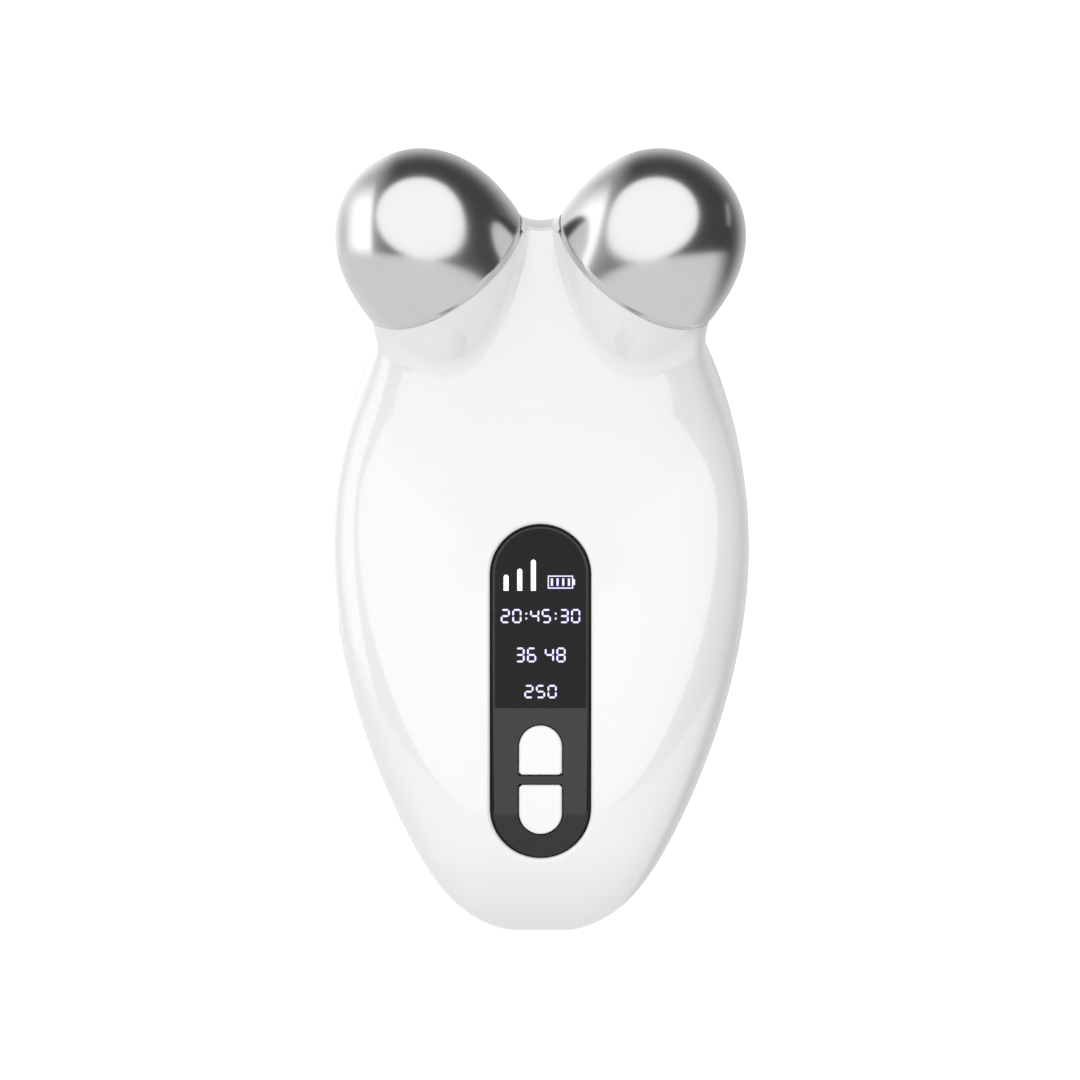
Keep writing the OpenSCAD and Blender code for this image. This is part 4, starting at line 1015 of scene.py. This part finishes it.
def roller(side):
    centre, axis = roller_frame(side)
    flare = [(RIM_R - RIM_ROUND + RIM_ROUND * math.sin(a), RIM_FOOT - RIM_ROUND * math.cos(a))
             for a in np.linspace(0, math.pi / 2, RIM_STEPS)]
    rise = [(swelling(h), h) for h in np.linspace(RIM_FOOT, SWELL_H, SWELL_STEPS)[1:-1]]
    outer = np.concatenate([flare, rise, dome(ROLLER_R, ROLLER_H), [(TIP_R, ROLLER_H)]])
    inner_r, inner_h = RIM_R - DOME_WALL, ROLLER_H - DOME_WALL
    inner = np.concatenate([[(TIP_R, inner_h)], dome(inner_r, inner_h)[::-1],
                            [(inner_r, -RIM_REACH)]])
    tangent = np.concatenate([np.gradient(outer, axis=0), np.gradient(inner, axis=0)])
    across = unit(np.stack([tangent[:, 1], -tangent[:, 0]], 1))
    verts, quads = lathe(np.concatenate([outer, inner]), centre, axis)
    normals = unit(lathe(across, np.zeros(3), axis)[0])
    body = SIDE_NAME[side] + "_roller"
    make_mesh(body + "_dome", (verts, [quads], [normals[quads]]), body, "roller_plate",
              [body + "_shell"])


for side in (LEFT, RIGHT):
    roller(side)

# ---- Camera, floor and light ----
SENSOR = 36.0
FRAME_WIDTH = 149.1
CAMERA_DISTANCE, FOCUS_Z, CAMERA_X, CAMERA_Y = 4000.0, 22.0, -0.07, 1.08
camera = bpy.data.objects.new("camera", bpy.data.cameras.new("camera"))
bpy.context.scene.collection.objects.link(camera)
camera.data.sensor_width = SENSOR
camera.data.lens = SENSOR * CAMERA_DISTANCE / FRAME_WIDTH
camera.location = (CAMERA_X * MM, CAMERA_Y * MM, (CAMERA_DISTANCE + FOCUS_Z) * MM)
camera.rotation_euler = (0, 0, 0)
bpy.context.scene.camera = camera

# Seen from below, the floor is clear. It neither lights the part nor shows in it.
FLOOR_Z, FLOOR_HALF = -0.05, 3.0
FLOOR_GREY, FLOOR_ROUGH, FLOOR_GLOW = 0.85, 0.9, 0.5
corners = [(x * FLOOR_HALF, y * FLOOR_HALF, 0) for x, y in ((-1, -1), (1, -1), (1, 1), (-1, 1))]
floor_mesh = bpy.data.meshes.new("floor")
floor_mesh.from_pydata(corners, [], [(0, 1, 2, 3)])
floor = bpy.data.objects.new("floor", floor_mesh)
bpy.context.scene.collection.objects.link(floor)
floor_material = bpy.data.materials.new("floor_paper")
floor_material.use_nodes = True
floor_nodes, floor_link = floor_material.node_tree.nodes, floor_material.node_tree.links.new
paper = preset(floor_nodes["Principled BSDF"], {
    "Base Color": (FLOOR_GREY, FLOOR_GREY, FLOOR_GREY, 1), "Roughness": FLOOR_ROUGH,
    "Emission Color": (1, 1, 1, 1), "Emission Strength": FLOOR_GLOW})
sides = floor_nodes.new("ShaderNodeMixShader")
clear = floor_nodes.new("ShaderNodeBsdfTransparent")
facing = floor_nodes.new("ShaderNodeNewGeometry")
floor_link(facing.outputs["Backfacing"], sides.inputs["Fac"])
floor_link(paper.outputs["BSDF"], sides.inputs[1])
floor_link(clear.outputs["BSDF"], sides.inputs[2])
floor_link(sides.outputs["Shader"], floor_nodes["Material Output"].inputs["Surface"])
floor_mesh.materials.append(floor_material)
floor.location.z = FLOOR_Z * MM
floor.visible_glossy = False
floor.visible_diffuse = False

# Surroundings: grey levels and their places. East, west, north and south are degrees away from
# straight up, towards +X, -X, +Y and -Y; BELOW_FADE and PAPER_FADE are radians from straight up.
KEY_SHINE, KEY_EAST, KEY_NORTH, KEY_WIDE, KEY_HIGH = 1.9, -5, 28.5, 58, 53.3
KEY_SQUARE, KEY_SOFT = 2.12, 0.02
FILL, FILL_SLOPE, FILL_WAY = 0.94, 0.5, (-0.35, 0.1, 0.93)
PALE, PALE_SOUTH, PALE_SOFT, PALE_EAST = 1.22, 24.5, 0.7, (72, 118)
STRIP, STRIP_WEST, STRIP_SOFT, STRIP_FADE = 2.4, 70, 1.5, (90, 138)
STRIP_SOUTH, STRIP_NORTH = (16, 32), (40, 95)
EDGE, EDGE_EAST, EDGE_EAST_SOFT, EDGE_NORTH, EDGE_NORTH_SOFT = 0.7, (103, 110), 1, (15, 50), 4
DARK, GREY_WEST, WEST_FADE = 0.09, 0.62, (35, 80)
GREY_BELOW, BELOW_FADE, PAPER, PAPER_FADE = 0.28, (1.85, 2.5), 0.5, (2.1, 2.8)
SEEN_SKY = 1.3
world = bpy.data.worlds.new("studio")
bpy.context.scene.world = world
world.use_nodes = True
sky = world.node_tree
sky.nodes.clear()


def sky_math(operation, *values):
    node = sky.nodes.new("ShaderNodeMath")
    node.operation = operation
    for i, v in enumerate(values):
        if isinstance(v, (int, float)):
            node.inputs[i].default_value = v
        else:
            sky.links.new(v, node.inputs[i])
    return node.outputs[0]


def above(value, low, high):
    """0 below low and 1 above high, smooth between."""
    node = preset(sky.nodes.new("ShaderNodeMapRange"), {"From Min": low, "From Max": high})
    node.interpolation_type = "SMOOTHSTEP"
    sky.links.new(value, node.inputs["Value"])
    return node.outputs["Result"]


def below(value, low, high):
    return sky_math("SUBTRACT", 1.0, above(value, low, high))


def between(value, ends, soft):
    """Two factors that are both 1 between the ends only."""
    low, high = ends
    return above(value, low - soft, low + soft), below(value, high - soft, high + soft)


def chain(operation):
    def chained(result, *values):
        for value in values:
            result = sky_math(operation, result, value)
        return result

    return chained


times, plus = chain("MULTIPLY"), chain("ADD")


def laid_over(under, share, level):
    """level where share is 1, what lies under it where share is 0."""
    return plus(times(sky_math("SUBTRACT", 1.0, share), under), times(share, level))


aim = sky.nodes.new("ShaderNodeTexCoord")
parts = sky.nodes.new("ShaderNodeSeparateXYZ")
sky.links.new(aim.outputs["Generated"], parts.inputs[0])
ax, ay, az = parts.outputs
rays = sky.nodes.new("ShaderNodeLightPath").outputs
from_top = sky_math("ARCCOSINE", az)
aside = sky_math("MAXIMUM", sky_math("SQRT", plus(times(ax, ax), times(ay, ay))), 1e-4)
spread = sky_math("DIVIDE", times(from_top, 180 / math.pi), aside)
east, north = times(ax, spread), times(ay, spread)
west, south = times(east, -1.0), times(north, -1.0)
key_x = sky_math("ABSOLUTE", times(plus(east, -KEY_EAST), 1 / KEY_WIDE))
key_y = sky_math("ABSOLUTE", times(plus(north, -KEY_NORTH), 1 / KEY_HIGH))
key_off = plus(sky_math("POWER", key_x, KEY_SQUARE), sky_math("POWER", key_y, KEY_SQUARE))
toward_fill = plus(*[times(a, way * FILL_SLOPE) for a, way in zip((ax, ay, az), FILL_WAY)])
level = plus(DARK, times(above(west, *WEST_FADE), GREY_WEST),
             times(above(from_top, *BELOW_FADE), GREY_BELOW),
             times(above(from_top, *PAPER_FADE), PAPER))
for share, over in (
        (times(*between(east, EDGE_EAST, EDGE_EAST_SOFT),
               *between(north, EDGE_NORTH, EDGE_NORTH_SOFT)), EDGE),
        (times(above(south, PALE_SOUTH - PALE_SOFT, PALE_SOUTH + PALE_SOFT),
               below(east, *PALE_EAST)), PALE),
        (times(above(west, STRIP_WEST - STRIP_SOFT, STRIP_WEST + STRIP_SOFT),
               below(west, *STRIP_FADE), below(south, *STRIP_SOUTH),
               below(north, *STRIP_NORTH)), STRIP),
        (below(key_off, 1 - KEY_SOFT, 1 + KEY_SOFT), KEY_SHINE),
        (rays["Is Diffuse Ray"], plus(FILL, toward_fill)),
        (rays["Is Camera Ray"], SEEN_SKY)):
    level = laid_over(level, share, over)
background = sky.nodes.new("ShaderNodeBackground")
sky.links.new(level, background.inputs["Strength"])
output = sky.nodes.new("ShaderNodeOutputWorld")
sky.links.new(background.outputs[0], output.inputs["Surface"])
bpy.context.scene.view_settings.view_transform = "Standard"
